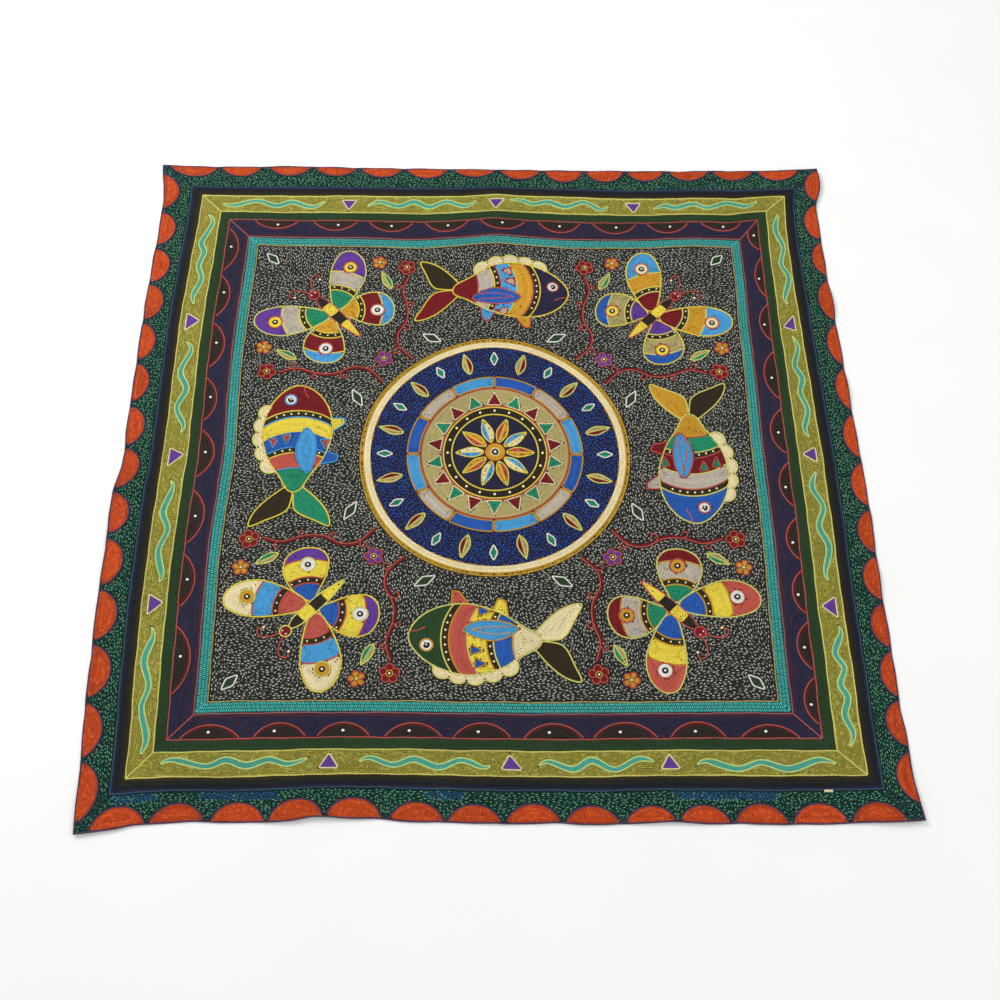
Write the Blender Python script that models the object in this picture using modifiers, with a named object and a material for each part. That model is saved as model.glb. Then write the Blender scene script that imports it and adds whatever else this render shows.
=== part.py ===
"""A square embroidered cloth hanging laid out flat: one uneven sheet, and the small blank tab sewn on it."""

import bpy
import numpy as np

# Driving sizes, in metres
SIDE = 1.100  # nominal side of the square cloth
CLOTH_THICK = 0.0025  # ground cloth with the stitching that covers it
TAB_SIZE = (0.012, 0.0035, 0.0006)  # the small tab's length, width and thickness
TAB_PLACE = (0.9825, 1.0565)  # its middle, from the left edge and down from the top edge
GAP = 0.0003  # between pieces that touch
MM = 0.001

GRID_STEPS = 42  # squares along each side of the sheet, three to each scallop
SCALLOPS = 14  # along each side
SCALLOP_BULGE = 0.0012  # how far a scallop's middle stands past its ends

# Where the real edge runs, in mm. Columns: place along the side, how far inside the nominal square
EDGE_DRIFT = {
    # along x, from the left
    "top": [(0, 0), (30, 2.5), (66, 2.5), (110, 0.5), (150, 0), (220, 0), (256, 2), (300, 2),
            (340, 2), (380, 2), (420, 3.5), (500, 3.5), (560, 5.7), (620, 5), (685, 9), (730, 8),
            (800, 6.5), (880, 6.5), (955, 4.8), (1000, 5.5), (1030, 5.8), (1066, 6.2), (1100, 3.5)],
    "bottom": [(0, -3.5), (25, 0), (60, 4.5), (90, 9), (120, 10.8), (180, 12), (235, 10), (285, 12),
               (325, 16), (360, 14), (410, 12), (450, 8.3), (500, 7.2), (550, 4.8), (625, 4.6),
               (690, 2), (780, 4), (820, 1.7), (880, 0.8), (950, -1), (1000, 0), (1060, 0.6),
               (1100, 1)],
    # along y, down from the top
    "left": [(0, -1), (25, 2.5), (50, 6.3), (90, 7), (125, 6), (180, 4.3), (225, 1.8), (275, 0.8),
             (320, -0.8), (380, -2.2), (425, -1.8), (470, -3.3), (506, -3.5), (550, -2.2),
             (573, -3), (592, -6.5), (612, -11), (675, -10.2), (730, -10.8), (795, -12), (880, -10),
             (955, -8.5), (1000, -5.8), (1100, -2.3)],
    "right": [(0, 1), (25, 0), (46, 1), (66, 5.5), (86, 11.5), (125, 11.8), (220, 12.5),
              (270, 10.3), (320, 10.8), (380, 8.8), (425, 9.5), (470, 8.3), (550, 7.3), (625, 6),
              (700, 7.3), (780, 9.5), (830, 8.3), (885, 9), (930, 10), (980, 7.8), (1060, 7.3),
              (1100, 1.5)],
}

# Where the cloth stands off the surface, in mm, each an oval swell with a soft rim.
# Columns: middle x from the left, middle y from the top, half size in x, half size in y, height
SWELLS = [
    (552, 120, 48, 190, 3.4),  # crease down the middle, upper end
    (548, 985, 46, 170, 2.4),  # the same crease, lower end
    (110, 590, 170, 44, 3.2),  # crease across the middle, left end
    (985, 556, 170, 42, 2.4),  # the same crease, right end
    (0, 0, 120, 115, 4.5),  # corners that curl up a little
    (1100, 0, 125, 125, 6.0),
    (1100, 1100, 112, 108, 4.5),
    (0, 1100, 100, 95, 3.0),
    (252, 0, 74, 62, 2.6),  # ripples of the border, most of them at a scallop
    (704, 0, 80, 60, 2.8),
    (1100, 272, 76, 42, 3.2),
    (1100, 439, 70, 40, 2.6),
    (1100, 754, 64, 44, 2.2),
    (0, 702, 66, 78, 3.0),
    (0, 275, 58, 48, 2.2),
    (318, 1100, 92, 62, 3.8),
    (774, 1100, 70, 52, 2.4),
]

CLOTH_COLOUR = (0.020, 0.045, 0.035)
TAB_COLOUR = (0.62, 0.52, 0.38)


def smooth_through(rows, places):
    """A smooth curve through (place, value) rows, read at the places given."""
    at, value = np.array(rows, float).T
    slope = np.gradient(value, at)
    k = np.clip(np.searchsorted(at, places, side="right") - 1, 0, len(at) - 2)
    span = at[k + 1] - at[k]
    t = (places - at[k]) / span
    return (
        value[k] * (1 + 2 * t) * (1 - t) ** 2
        + value[k + 1] * t**2 * (3 - 2 * t)
        + slope[k] * span * t * (1 - t) ** 2
        - slope[k + 1] * span * t**2 * (1 - t)
    )


def inward(side, along):
    """How far the edge lies inside the nominal square, in metres, with a little bulge at each scallop."""
    drift = smooth_through(EDGE_DRIFT[side], along / MM) * MM
    scallop = np.abs(np.sin(np.pi * SCALLOPS * along / SIDE))
    return drift - SCALLOP_BULGE * (scallop - 0.5)


def lie(x, y):
    """The real place of each point of the nominal square: the sides' drifts, shared out across it."""
    across = inward("left", y) * (1 - x / SIDE) - inward("right", y) * x / SIDE
    down = inward("top", x) * (1 - y / SIDE) - inward("bottom", x) * y / SIDE
    return x + across, y + down


def swell(x, y):
    """How high the cloth's underside stands off the surface at each point, in metres."""
    high = np.zeros_like(x)
    for mid_x, mid_y, half_x, half_y, height in SWELLS:
        out = ((x / MM - mid_x) / half_x) ** 2 + ((y / MM - mid_y) / half_y) ** 2
        high = np.maximum(high, height * MM * np.clip(1 - out, 0, None) ** 2)
    return high


def outline_middle():
    """The middle of the real outline's box, which becomes the model's origin."""
    along = np.linspace(0, SIDE, GRID_STEPS + 1)
    none, full = np.zeros_like(along), np.full_like(along, SIDE)
    edges = [lie(along, none), lie(along, full), lie(none, along), lie(full, along)]
    x, y = np.concatenate(edges, axis=1)
    return (x.min() + x.max()) / 2, (y.min() + y.max()) / 2


def to_model(x, y):
    """Turns places from the top left corner, y downwards, into the model's x and y."""
    real_x, real_y = lie(x, y)
    mid_x, mid_y = outline_middle()
    return real_x - mid_x, mid_y - real_y


def material(name, colour, roughness):
    made = bpy.data.materials.new(name)
    made.use_nodes = True
    shader = made.node_tree.nodes["Principled BSDF"]
    shader.inputs["Base Color"].default_value = (*colour, 1.0)
    shader.inputs["Roughness"].default_value = roughness
    shader.inputs["Metallic"].default_value = 0.0
    return made


def into(collection, thing):
    for holder in list(thing.users_collection):
        holder.objects.unlink(thing)
    collection.objects.link(thing)


def make_cloth(collection):
    """The sheet: a flat grid moved to its real outline and swells, then given its thickness upwards."""
    bpy.ops.mesh.primitive_grid_add(x_subdivisions=GRID_STEPS, y_subdivisions=GRID_STEPS, size=SIDE)
    cloth = bpy.context.object
    cloth.name = cloth.data.name = "cloth"
    places = np.empty(len(cloth.data.vertices) * 3)
    cloth.data.vertices.foreach_get("co", places)
    places = places.reshape(-1, 3)
    x = np.clip(places[:, 0] + SIDE / 2, 0, SIDE)
    y = np.clip(SIDE / 2 - places[:, 1], 0, SIDE)
    places[:, 0], places[:, 1] = to_model(x, y)
    places[:, 2] = swell(x, y)
    cloth.data.vertices.foreach_set("co", places.ravel())
    cloth.data.update()
    thick = cloth.modifiers.new("thickness", "SOLIDIFY")
    thick.thickness = CLOTH_THICK
    thick.offset = 1.0
    cloth.data.materials.append(material("cloth", CLOTH_COLOUR, 0.85))
    into(collection, cloth)
    return cloth


def make_tab(collection):
    """The small blank tab, lying on the cloth beside the lower right corner."""
    bpy.ops.mesh.primitive_cube_add(size=1.0)
    tab = bpy.context.object
    tab.name = tab.data.name = "tab"
    for corner in tab.data.vertices:
        corner.co = [way * size for way, size in zip(corner.co, TAB_SIZE)]
    x, y = to_model(np.array([TAB_PLACE[0]]), np.array([TAB_PLACE[1]]))
    tab.location = (x[0], y[0], CLOTH_THICK + GAP + TAB_SIZE[2] / 2)
    tab.data.materials.append(material("tab", TAB_COLOUR, 0.8))
    into(collection, tab)
    return tab


def main():
    for thing in list(bpy.data.objects):
        bpy.data.objects.remove(thing)
    hanging = bpy.data.collections.new("embroidered_hanging")
    bpy.context.scene.collection.children.link(hanging)
    make_cloth(hanging)
    make_tab(hanging)


main()
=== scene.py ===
"""The looks of an embroidered cloth laid flat: rows of chain stitch and seed stitches on black cotton.

The drawing is laid out on a nominal square in millimetres, x to the right and y down from the top left
corner, and each stitch is then moved to where the uneven cloth really lies.
"""

import bpy
import numpy as np
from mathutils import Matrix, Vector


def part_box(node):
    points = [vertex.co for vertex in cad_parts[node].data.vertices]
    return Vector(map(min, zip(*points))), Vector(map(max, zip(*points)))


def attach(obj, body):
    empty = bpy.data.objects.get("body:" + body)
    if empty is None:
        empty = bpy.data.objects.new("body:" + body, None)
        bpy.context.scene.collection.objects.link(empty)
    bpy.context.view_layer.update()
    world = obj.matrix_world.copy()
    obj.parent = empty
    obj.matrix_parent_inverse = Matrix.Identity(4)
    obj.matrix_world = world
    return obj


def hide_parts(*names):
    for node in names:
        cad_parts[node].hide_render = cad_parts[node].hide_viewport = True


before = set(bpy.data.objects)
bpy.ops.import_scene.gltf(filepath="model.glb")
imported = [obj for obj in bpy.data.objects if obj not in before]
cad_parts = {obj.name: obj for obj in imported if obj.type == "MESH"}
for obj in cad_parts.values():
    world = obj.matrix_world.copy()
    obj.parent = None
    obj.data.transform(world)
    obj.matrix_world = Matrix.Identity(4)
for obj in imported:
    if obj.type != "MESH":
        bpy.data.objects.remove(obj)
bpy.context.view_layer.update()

# Sizes, in millimetres
MM = 0.001
SIDE = 1100.0
LAST = int(SIDE)
MIDDLE = SIDE / 2
SCALLOPS = 14  # along each side
SCALLOP_BULGE = 1.2  # how far a scallop's middle stands past its ends
OUTLINE_STEPS = 42  # places along each side where the solid's outline is measured
GROUND_STEPS = 120  # lines of the cloth's own mesh
SIDE_POINTS = 270  # points of a row that runs along a side
HEM_WIDTH = 12.4
HEM_LINES = (0.6, 5.0, HEM_WIDTH, HEM_WIDTH + 0.7)  # depths where the cloth's mesh follows the hem
HEM_THICK = 0.45  # the layer that is turned under
HEM_PITCH = 7.0
HEM_STITCH = 3.4
BACK_GAP = 0.12  # the back's own stitches lie in it
CLOTH_TOP = 1.1  # face of the ground cloth above its underside
PUCKER = 0.16

ROW_PITCH = 2.7  # between rows of chain stitch that fill a shape
FILL_LINK = 4.4  # length of one link in a filling row
STRIPE_LINK = 5.3  # the same in the long straight rows
RIM_LINK = 3.4
LINK_WIDTH = 3.1
RIM_WIDTH = 2.2
FILL_HEIGHT = 0.95
RIM_HEIGHT = 1.45
RIM_DEPTH = 1.1  # how far inside a shape's edge its outline runs
OLIVE_ROW_WIDTH = 2.6  # narrower than its pitch, so that grooves show
RIBBON_HALF = 5.0
RIBBON_RIM = 2.6
SLANT_PITCH = 2.9  # between the short stitches that cross a band
SLANT_LEAN = 2.2
SLANT_REACH = 4.8
# The room that each seed stitch keeps, along it and across it
BLUE_ROOM, BORDER_ROOM, GROUND_ROOM = (4.5, 2.0), (5.4, 2.4), (5.3, 2.75)
KNOT_SIDES = 8
KNOT_LIFT = 0.5
KNOT_HEIGHT = 1.3

# Depths from the edge where the border's lines run
GREEN_END = 45.0
CREAM_OUTER = 64.0
CREAM_INNER = 98.0
CORAL_LINE = 115.0
PINK_LINE = 150.0
OCHRE_LINE = 167.0
RINGS = (0.0, CREAM_OUTER, OCHRE_LINE)  # where the drawing's drift is known
# Depths where the places of scallops, ribbons and half-moons were measured
SCALLOP_DEPTH = 8
BAND_MIDDLE = 81.0
MOON_DEPTH = 118
OLIVE_ENDS = (65.2, 96.8)  # where the rows of the olive band begin and end
NAVY_END = 144.6  # where those of the navy band end
# Depths of the plum rows, and where the short stitches of the green and turquoise bands begin
GREEN_ROWS = (99.8, 104.5, 109.2)
PLUM_ROWS = (145.9, 148.2)
TEAL_ROWS = (151.9, 156.5, 161.1)
# Rows of the dark strip. Columns: depth, thread
STRIP_ROWS = [(47.2, "navy"), (49.8, "night"), (52.4, "night"), (55.0, "black"), (57.5, "black"),
              (59.9, "brown black"), (62.2, "brown black")]
# Columns: depth, thread, width
BORDER_LINES = [(GREEN_END, "steel", 2.1), (CREAM_OUTER, "cream", 2.2), (CREAM_INNER, "cream", 2.2),
                (CORAL_LINE, "coral mix", 2.0), (PINK_LINE, "pink", 2.0), (OCHRE_LINE, "edge mix", 1.9)]

TAB_SINK = 0.8  # how far the tab is pressed down among the stitches
TAB_THICK = 0.55

DISC_RADIUS = 184.0  # the round field in the middle
DISC_RIM = 16.0

# Where the real edge runs, in mm. Columns: place along the side, how far inside the nominal square
EDGE_DRIFT = {
    "top": [(0, 0), (30, 2.5), (66, 2.5), (110, 0.5), (150, 0), (220, 0), (256, 2), (300, 2),
            (340, 2), (380, 2), (420, 3.5), (500, 3.5), (560, 5.7), (620, 5), (685, 9), (730, 8),
            (800, 6.5), (880, 6.5), (955, 4.8), (1000, 5.5), (1030, 5.8), (1066, 6.2), (1100, 3.5)],
    "bottom": [(0, -3.5), (25, 0), (60, 4.5), (90, 9), (120, 10.8), (180, 12), (235, 10), (285, 12),
               (325, 16), (360, 14), (410, 12), (450, 8.3), (500, 7.2), (550, 4.8), (625, 4.6),
               (690, 2), (780, 4), (820, 1.7), (880, 0.8), (950, -1), (1000, 0), (1060, 0.6),
               (1100, 1)],
    "left": [(0, -1), (25, 2.5), (50, 6.3), (90, 7), (125, 6), (180, 4.3), (225, 1.8), (275, 0.8),
             (320, -0.8), (380, -2.2), (425, -1.8), (470, -3.3), (506, -3.5), (550, -2.2),
             (573, -3), (592, -6.5), (612, -11), (675, -10.2), (730, -10.8), (795, -12), (880, -10),
             (955, -8.5), (1000, -5.8), (1100, -2.3)],
    "right": [(0, 1), (25, 0), (46, 1), (66, 5.5), (86, 11.5), (125, 11.8), (220, 12.5),
              (270, 10.3), (320, 10.8), (380, 8.8), (425, 9.5), (470, 8.3), (550, 7.3), (625, 6),
              (700, 7.3), (780, 9.5), (830, 8.3), (885, 9), (930, 10), (980, 7.8), (1060, 7.3),
              (1100, 1.5)],
}

# How the inner lines wander. Columns: place along the side, drift of the olive band, drift of the panel
INNER_DRIFT = {
    "top": [(0, -1, -6), (120, -1, -5.5), (220, -0.5, -1.5), (320, -1, -1), (420, 0, 2.5),
            (550, -3, -6.3), (680, 0.3, 2), (780, 3.3, 1.8), (880, 1.2, -2.5), (980, 2, 3), (1100, -6, 2)],
    "bottom": [(0, 3, 2), (120, 6.5, 3), (220, 6, 5.5), (315, 8.5, 5), (420, 7.5, 3.7), (550, 3, 0.3),
               (680, 1, -0.5), (780, 1.8, -1), (880, 0.3, -1), (980, -0.7, -3), (1100, -1, -5)],
    "left": [(0, 10, 3), (120, 5, 2), (220, -1, -0.5), (320, -6, -6), (420, -7, -8.5), (570, -8.5, -7),
             (680, -12.5, -14.5), (880, -12, -14), (980, -8.5, -14), (1100, -8, -13)],
    "right": [(0, -7, -5), (120, 4, -4), (220, 5, -4.5), (320, 4.3, -1.5), (420, 2.8, -0.7),
              (550, 1.5, 2.8), (680, 2.2, 2.5), (780, 4.3, 5.3), (880, 4, 8), (980, 5.8, 9), (1100, 4, 9)],
}

# A corner of the inner border drawn out of square: its middle x and y, reach, pull in x and in y
CORNER_PULL = (1000, 108, 75, 2.0, -8.5)

# Where the cloth stands off the surface. Columns: middle x and y, half size in x and in y, height
SWELLS = [
    (552, 120, 48, 190, 3.4), (548, 985, 46, 170, 2.4), (110, 590, 170, 44, 3.2),
    (985, 556, 170, 42, 2.4), (0, 0, 120, 115, 4.5), (1100, 0, 125, 125, 6.0),
    (1100, 1100, 112, 108, 4.5), (0, 1100, 100, 95, 3.0), (252, 0, 74, 62, 2.6),
    (704, 0, 80, 60, 2.8), (1100, 272, 76, 42, 3.2), (1100, 439, 70, 40, 2.6),
    (1100, 754, 64, 44, 2.2), (0, 702, 66, 78, 3.0), (0, 275, 58, 48, 2.2),
    (318, 1100, 92, 62, 3.8), (774, 1100, 70, 52, 2.4),
]

# Middles of the scallops along each side
SCALLOP_PLACES = {
    "top": [54, 130, 211, 287, 364, 440, 519, 596, 669, 738, 807, 880, 955, 1033],
    "bottom": [51, 127, 205, 279, 354, 435, 510, 586, 663, 739, 810, 884, 961, 1038],
    "left": [56, 131, 205, 276, 350, 424, 500, 572, 645, 722, 802, 883, 965, 1047],
    "right": [39, 115, 190, 272, 356, 438, 521, 603, 680, 754, 826, 897, 967, 1041],
}
# How far they reach in from the edge. Columns: place along the side, height
SCALLOP_HEIGHTS = {
    "top": [(0, 24), (130, 22), (300, 20), (440, 22), (520, 19), (666, 28), (810, 23),
            (955, 22), (1100, 26)],
    "bottom": [(0, 29), (127, 27), (355, 30), (500, 25), (587, 27), (738, 23), (884, 27), (1100, 27)],
    "left": [(0, 24), (275, 30), (425, 26), (500, 29), (646, 28), (884, 30), (966, 26), (1100, 31)],
    "right": [(0, 28), (117, 28), (193, 23), (272, 26), (356, 23), (603, 24), (826, 26), (896, 23),
              (968, 26), (1100, 21)],
}
# Half-moons in the navy band. Columns: start, end, place of its knot, height
MOONS = {
    "top": [(158, 233, 198, 17), (254, 329, 296, 20), (344, 420, 383, 20), (436, 509, 475, 21),
            (527, 603, 564, 22), (621, 694, 658, 22), (711, 786, 751, 22), (801, 872, 840, 22),
            (889, 962, 928, 18)],
    "bottom": [(119, 201, 158, 20), (216, 288, 245, 21), (300, 373, 336, 21), (390, 469, 424, 21),
               (481, 561, 516, 22), (575, 658, 611, 22), (668, 757, 706, 23), (772, 849, 807, 23),
               (867, 949, 902, 19)],
    "left": [(128, 216, 168, 21), (223, 306, 258, 19), (314, 399, 353, 22), (415, 494, 451, 19),
             (506, 591, 546, 22), (608, 696, 651, 22), (709, 793, 750, 20), (818, 919, 864, 23)],
    "right": [(110, 172, 142, 20), (186, 266, 230, 16), (279, 350, 319, 17), (368, 457, 418, 21),
              (472, 554, 515, 21), (566, 640, 608, 18), (658, 726, 698, 18), (740, 809, 779, 17),
              (819, 892, 858, 19), (900, 969, 940, 18)],
}
# Wavy ribbons of the olive band, each through its turning points.
# Columns: place along the side, how far inwards of the band's middle
RIBBONS = {
    "top": [
        [(103, 0), (125, 3.5), (161, -7), (193, 3.5), (218, -5), (252, 6), (275, -8)],
        [(340, 5), (363, -6), (393, 2.5), (419, -7), (444, 4), (472, -6.5), (503, 4), (524, -8)],
        [(575, -6), (597, -8), (615, -1), (641, -6.5), (669, 2.5), (700, -8), (728, 6.5), (743, -3)],
        [(811, 7), (834, -2.5), (852, 3), (883, -5), (906, 3.5), (940, -8), (971, 2.5), (993, -9)],
    ],
    "bottom": [
        [(97, 0), (115, 6.5), (158, -3), (184, 5.5), (211, -2.5), (240, 5), (266, -2), (294, 6.5)],
        [(356, -2.5), (372, 5.5), (403, -4.5), (431, 3.5), (463, -6.5), (493, 4), (522, -6), (534, -2)],
        [(593, -4), (608, 3.5), (641, -7), (666, 5), (696, -8), (728, 6), (750, 1.5)],
        [(803, -4.5), (819, 2.5), (859, -8), (892, 1), (928, -8), (969, 4.5), (995, -2.5)],
    ],
    "left": [
        [(100, -4), (118, 7), (158, -6), (178, 1), (205, -4), (231, 4), (263, -4), (283, 0.5)],
        [(349, -4.5), (366, 6), (405, -7), (436, 5), (469, -6), (499, 7), (514, 3.5)],
        [(592, -2.5), (605, 4.5), (643, -4.5), (672, 6), (705, -3), (744, 6), (755, 1)],
        [(818, -1.5), (834, 3.5), (869, -6), (905, 3), (936, -4.5), (978, 5.5), (1002, -1.5)],
    ],
    "right": [
        [(96, -4.5), (131, 3), (166, -8), (200, 0), (228, -10), (268, 2.5), (282, -4.5)],
        [(338, 0), (363, -6.5), (394, 3), (419, -5.5), (444, 1), (475, -6.5), (508, 2.5), (525, -4)],
        [(580, -5), (608, 4), (640, -8), (672, 2), (705, -8.5), (745, 1), (760, -3.5)],
        [(824, -6), (837, -9), (866, 3), (888, -6.5), (911, 1.5), (931, -6), (955, 0.5),
         (981, -7.5), (1000, 1)],
    ],
}
# Triangles between them. Columns: start and end of the outer side, place of the point
TRIANGLES = {
    "top": [(301, 324, 312), (543, 568, 553), (769, 794, 782)],
    "bottom": [(306, 331, 319), (546, 574, 557), (758, 783, 769)],
    "left": [(297, 330, 311), (539, 572, 549), (772, 803, 784)],
    "right": [(300, 330, 323), (541, 567, 553), (782, 814, 796)],
}
TRIANGLE_SPREAD = (-2.5, 2.5, 0)  # how much wider each one's outline is than its filling
TRIANGLE_DEPTHS = (71.5, 71.5, 95.5)
# Stretches of the lower border where the seeds are blue, and how near the edge the blue comes
BLUE_STRETCHES = [(44, 98), (154, 256), (447, 498), (773, 908)]
BLUE_DEPTH = 31

# Thread colours, as a screen shows them
THREADS = {
    "brick": (198, 73, 28), "brick light": (212, 90, 38), "leaf": (106, 158, 120),
    "sea": (84, 144, 130), "dark sea": (46, 106, 90), "royal": (42, 96, 182),
    "steel": (60, 84, 108), "denim": (40, 96, 138), "indigo": (62, 66, 132),
    "navy": (42, 40, 65), "violet": (88, 66, 98), "night": (28, 31, 40),
    "black": (36, 37, 31), "brown black": (52, 43, 26), "cream": (226, 220, 116),
    "pale cream": (242, 226, 176), "olive": (156, 148, 56), "olive light": (178, 172, 82),
    "moss": (130, 142, 70), "fawn": (172, 142, 92), "dark green": (44, 72, 40),
    "coral": (198, 90, 76), "maroon": (126, 26, 32), "wine": (92, 30, 32),
    "plum": (72, 40, 54), "pink": (160, 104, 108), "turquoise": (76, 167, 148),
    "lime": (196, 220, 138), "teal": (70, 190, 182), "ochre": (212, 158, 46),
    "yellow": (244, 220, 74), "purple": (104, 64, 158), "sky": (78, 164, 220),
    "emerald": (36, 144, 104), "grey beige": (196, 186, 168), "khaki": (182, 168, 108),
    "white": (240, 238, 228), "silver": (184, 186, 174), "grey": (128, 131, 124),
    "moon": (48, 40, 34),
}
# Shapes sewn with several like threads. Each mix lists a thread and its share
MIXES = {
    "olive mix": [("olive", 0.74), ("olive light", 0.18), ("moss", 0.05), ("fawn", 0.03)],
    "brick mix": [("brick", 0.75), ("brick light", 0.25)],
    "field mix": [("leaf", 0.44), ("sea", 0.36), ("dark sea", 0.20)],
    "corner mix": [("steel", 0.45), ("sea", 0.35), ("dark sea", 0.2)],
    "blue mix": [("royal", 0.5), ("steel", 0.3), ("indigo", 0.2)],
    "silver mix": [("silver", 0.7), ("grey", 0.3)],
    "denim mix": [("denim", 0.6), ("sea", 0.15), ("steel", 0.25)],
    "edge mix": [("khaki", 0.6), ("fawn", 0.3), ("olive light", 0.1)],
    "coral mix": [("coral", 0.8), ("pink", 0.2)],
    "navy mix": [("navy", 0.93), ("plum", 0.07)],
}
TONES = 8
TONE_LOW, TONE_HIGH = 0.80, 1.20
GROOVE_SHADE = 0.55  # painted shade: how dark the foot of a stitch is painted beside its crest
PALETTE_SIDE = 18  # cells along each side of the colour map
# The ground cloth's own dye
GROUND_COLOURS = {"black": (34, 34, 31), "back": (50, 49, 46), "green": (10, 40, 30), "navy": (26, 28, 62),
                  "blue": (18, 46, 66)}
GREEN_GROUND_END = 52  # depth down to which the cloth under the border's seeds is dark green
UNDER_SHADE = 0.32  # painted shade: how dark the cloth is painted between the rows of a filling, beside its thread's own colour
OLIVE_GROUND = (64.2, 65.4, 96.4, 97.6)  # the cloth under the olive band, painted olive darkened as shade, and where that tint fades out

# Forms of one stitch: its points and its faces. Columns: place along it, place across it, height, lightness
# (painted shade: darkest at the foot, the thread's full colour at the crest)
STITCH_FORMS = {
    "chain": (
        [(-0.16, -0.36, 0.00, 0.10), (0.93, -0.50, 0.06, 0.00), (-0.16, 0.00, 0.20, 0.20),
         (0.90, 0.00, 0.34, 0.25), (-0.16, 0.36, 0.00, 0.10), (0.93, 0.50, 0.06, 0.00),
         (-0.12, -0.13, 0.55, 0.70), (-0.12, 0.13, 0.55, 0.65), (0.68, -0.29, 1.00, 1.00),
         (0.68, 0.29, 1.00, 0.94)],
        [(0, 1, 8), (0, 8, 6), (6, 8, 3), (6, 3, 2), (1, 3, 8),
         (5, 4, 9), (9, 4, 7), (9, 7, 3), (3, 7, 2), (3, 5, 9)],
    ),
    "bead": (
        [(-0.12, -0.50, 0.00, 0.00), (0.88, -0.50, 0.00, 0.05), (-0.02, 0.00, 0.55, 0.40),
         (0.98, 0.00, 0.55, 0.45), (-0.12, 0.50, 0.00, 0.05), (0.88, 0.50, 0.00, 0.00),
         (0.58, -0.25, 1.00, 1.00), (0.58, 0.25, 1.00, 0.92)],
        [(0, 1, 6), (1, 3, 6), (3, 2, 6), (2, 0, 6), (5, 4, 7), (4, 2, 7), (2, 3, 7), (3, 5, 7)],
    ),
    "seed": (
        [(0.00, 0.00, 0.00, 0.10), (0.20, -0.46, 0.00, 0.00), (0.82, -0.44, 0.00, 0.05),
         (1.00, 0.00, 0.00, 0.15), (0.80, 0.46, 0.00, 0.00), (0.18, 0.44, 0.00, 0.05),
         (0.24, 0.02, 0.92, 0.95), (0.76, -0.02, 1.00, 1.00)],
        [(0, 1, 6), (1, 2, 7), (1, 7, 6), (2, 3, 7), (0, 6, 5), (6, 7, 4), (6, 4, 5), (7, 3, 4)],
    ),
}

chance = np.random.default_rng(seed=7)


# The cloth's lie

def smooth_through(rows, places):
    """A smooth curve through (place, value) rows, read at the places given."""
    at, value = np.array(rows, float).T
    slope = np.gradient(value, at)
    k = np.clip(np.searchsorted(at, places, side="right") - 1, 0, len(at) - 2)
    span = at[k + 1] - at[k]
    t = (places - at[k]) / span
    return (
        value[k] * (1 + 2 * t) * (1 - t) ** 2
        + value[k + 1] * t**2 * (3 - 2 * t)
        + slope[k] * span * t * (1 - t) ** 2
        - slope[k + 1] * span * t**2 * (1 - t)
    )


def drift(side, along):
    """How far the edge, the olive band and the panel of one side lie inwards of their nominal places."""
    along = np.clip(along, 0, SIDE)
    scallop = np.abs(np.sin(np.pi * SCALLOPS * along / SIDE))
    edge = smooth_through(EDGE_DRIFT[side], along) - SCALLOP_BULGE * (scallop - 0.5)
    at, *inner = np.array(INNER_DRIFT[side], float).T
    return [edge, *(smooth_through(np.column_stack([at, column]), along) for column in inner)]


def shift(place, along, near, far):
    """The drift at places between two opposite sides, shared out ring by ring."""
    knots = [*RINGS, *(SIDE - ring for ring in reversed(RINGS))]
    values = [*drift(near, along), *(-inward for inward in reversed(drift(far, along)))]
    total = np.where(place < MIDDLE, values[0], values[-1])
    for low, high, start, end in zip(knots, knots[1:], values, values[1:]):
        t = (place - low) / (high - low)
        total = np.where((t >= 0) & (t <= 1), start + (end - start) * t, total)
    return total


def real_place(x, y):
    """Where each place of the nominal square really lies."""
    mid_x, mid_y, reach, pull_x, pull_y = CORNER_PULL
    near = np.clip(1 - ((x - mid_x) ** 2 + (y - mid_y) ** 2) / reach**2, 0, 1) ** 2
    return (x + shift(x, y, "left", "right") + pull_x * near,
            y + shift(y, x, "top", "bottom") + pull_y * near)


def settled(side, places, depth):
    """Where a drawing must lie along a side for the cloth's drift to bring it to the places measured."""
    measured = np.array(places, float)
    along = measured
    for _ in range(3):
        x, y = SIDES[side].out(along, np.full_like(along, depth))
        real_x, real_y = real_place(x, y)
        along = along + measured - (real_x if side in ("top", "bottom") else real_y)
    return along


def outline_middle():
    """The middle of the real outline's box, which is the model's origin."""
    along = np.linspace(0, SIDE, OUTLINE_STEPS + 1)
    none, full = np.zeros_like(along), np.full_like(along, SIDE)
    edges = [real_place(*edge) for edge in [(along, none), (along, full), (none, along), (full, along)]]
    x, y = np.concatenate(edges, axis=1)
    return (x.min() + x.max()) / 2, (y.min() + y.max()) / 2


ORIGIN = outline_middle()


def swell(x, y):
    """How high the cloth's underside stands off the surface."""
    high = np.zeros_like(x)
    for mid_x, mid_y, half_x, half_y, height in SWELLS:
        out = ((x - mid_x) / half_x) ** 2 + ((y - mid_y) / half_y) ** 2
        high = np.maximum(high, height * np.clip(1 - out, 0, None) ** 2)
    return high


def pucker(x, y):
    """The small unevenness that tight rows pull into the cloth's face."""
    waves = np.sin(x / 13 + 1.4 * np.sin(y / 37)) * np.sin(y / 11 + 1.2 * np.sin(x / 29))
    broad = np.sin(x / 47 + 1.1 * np.sin(y / 71)) * np.sin(y / 43 + 0.9 * np.sin(x / 83))
    return PUCKER * (waves + 1.6 * broad)


def to_model(x, y, above):
    """Places of the drawing, at heights above the cloth's underside, as model coordinates in metres."""
    real_x, real_y = real_place(x, y)
    return np.stack([real_x - ORIGIN[0], ORIGIN[1] - real_y, swell(x, y) + above], axis=-1) * MM


# Stitches

def linear(colour):
    """A screen colour as the renderer's linear one."""
    part = np.array(colour) / 255
    return np.where(part <= 0.04045, part / 12.92, ((part + 0.055) / 1.055) ** 2.4)


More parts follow.
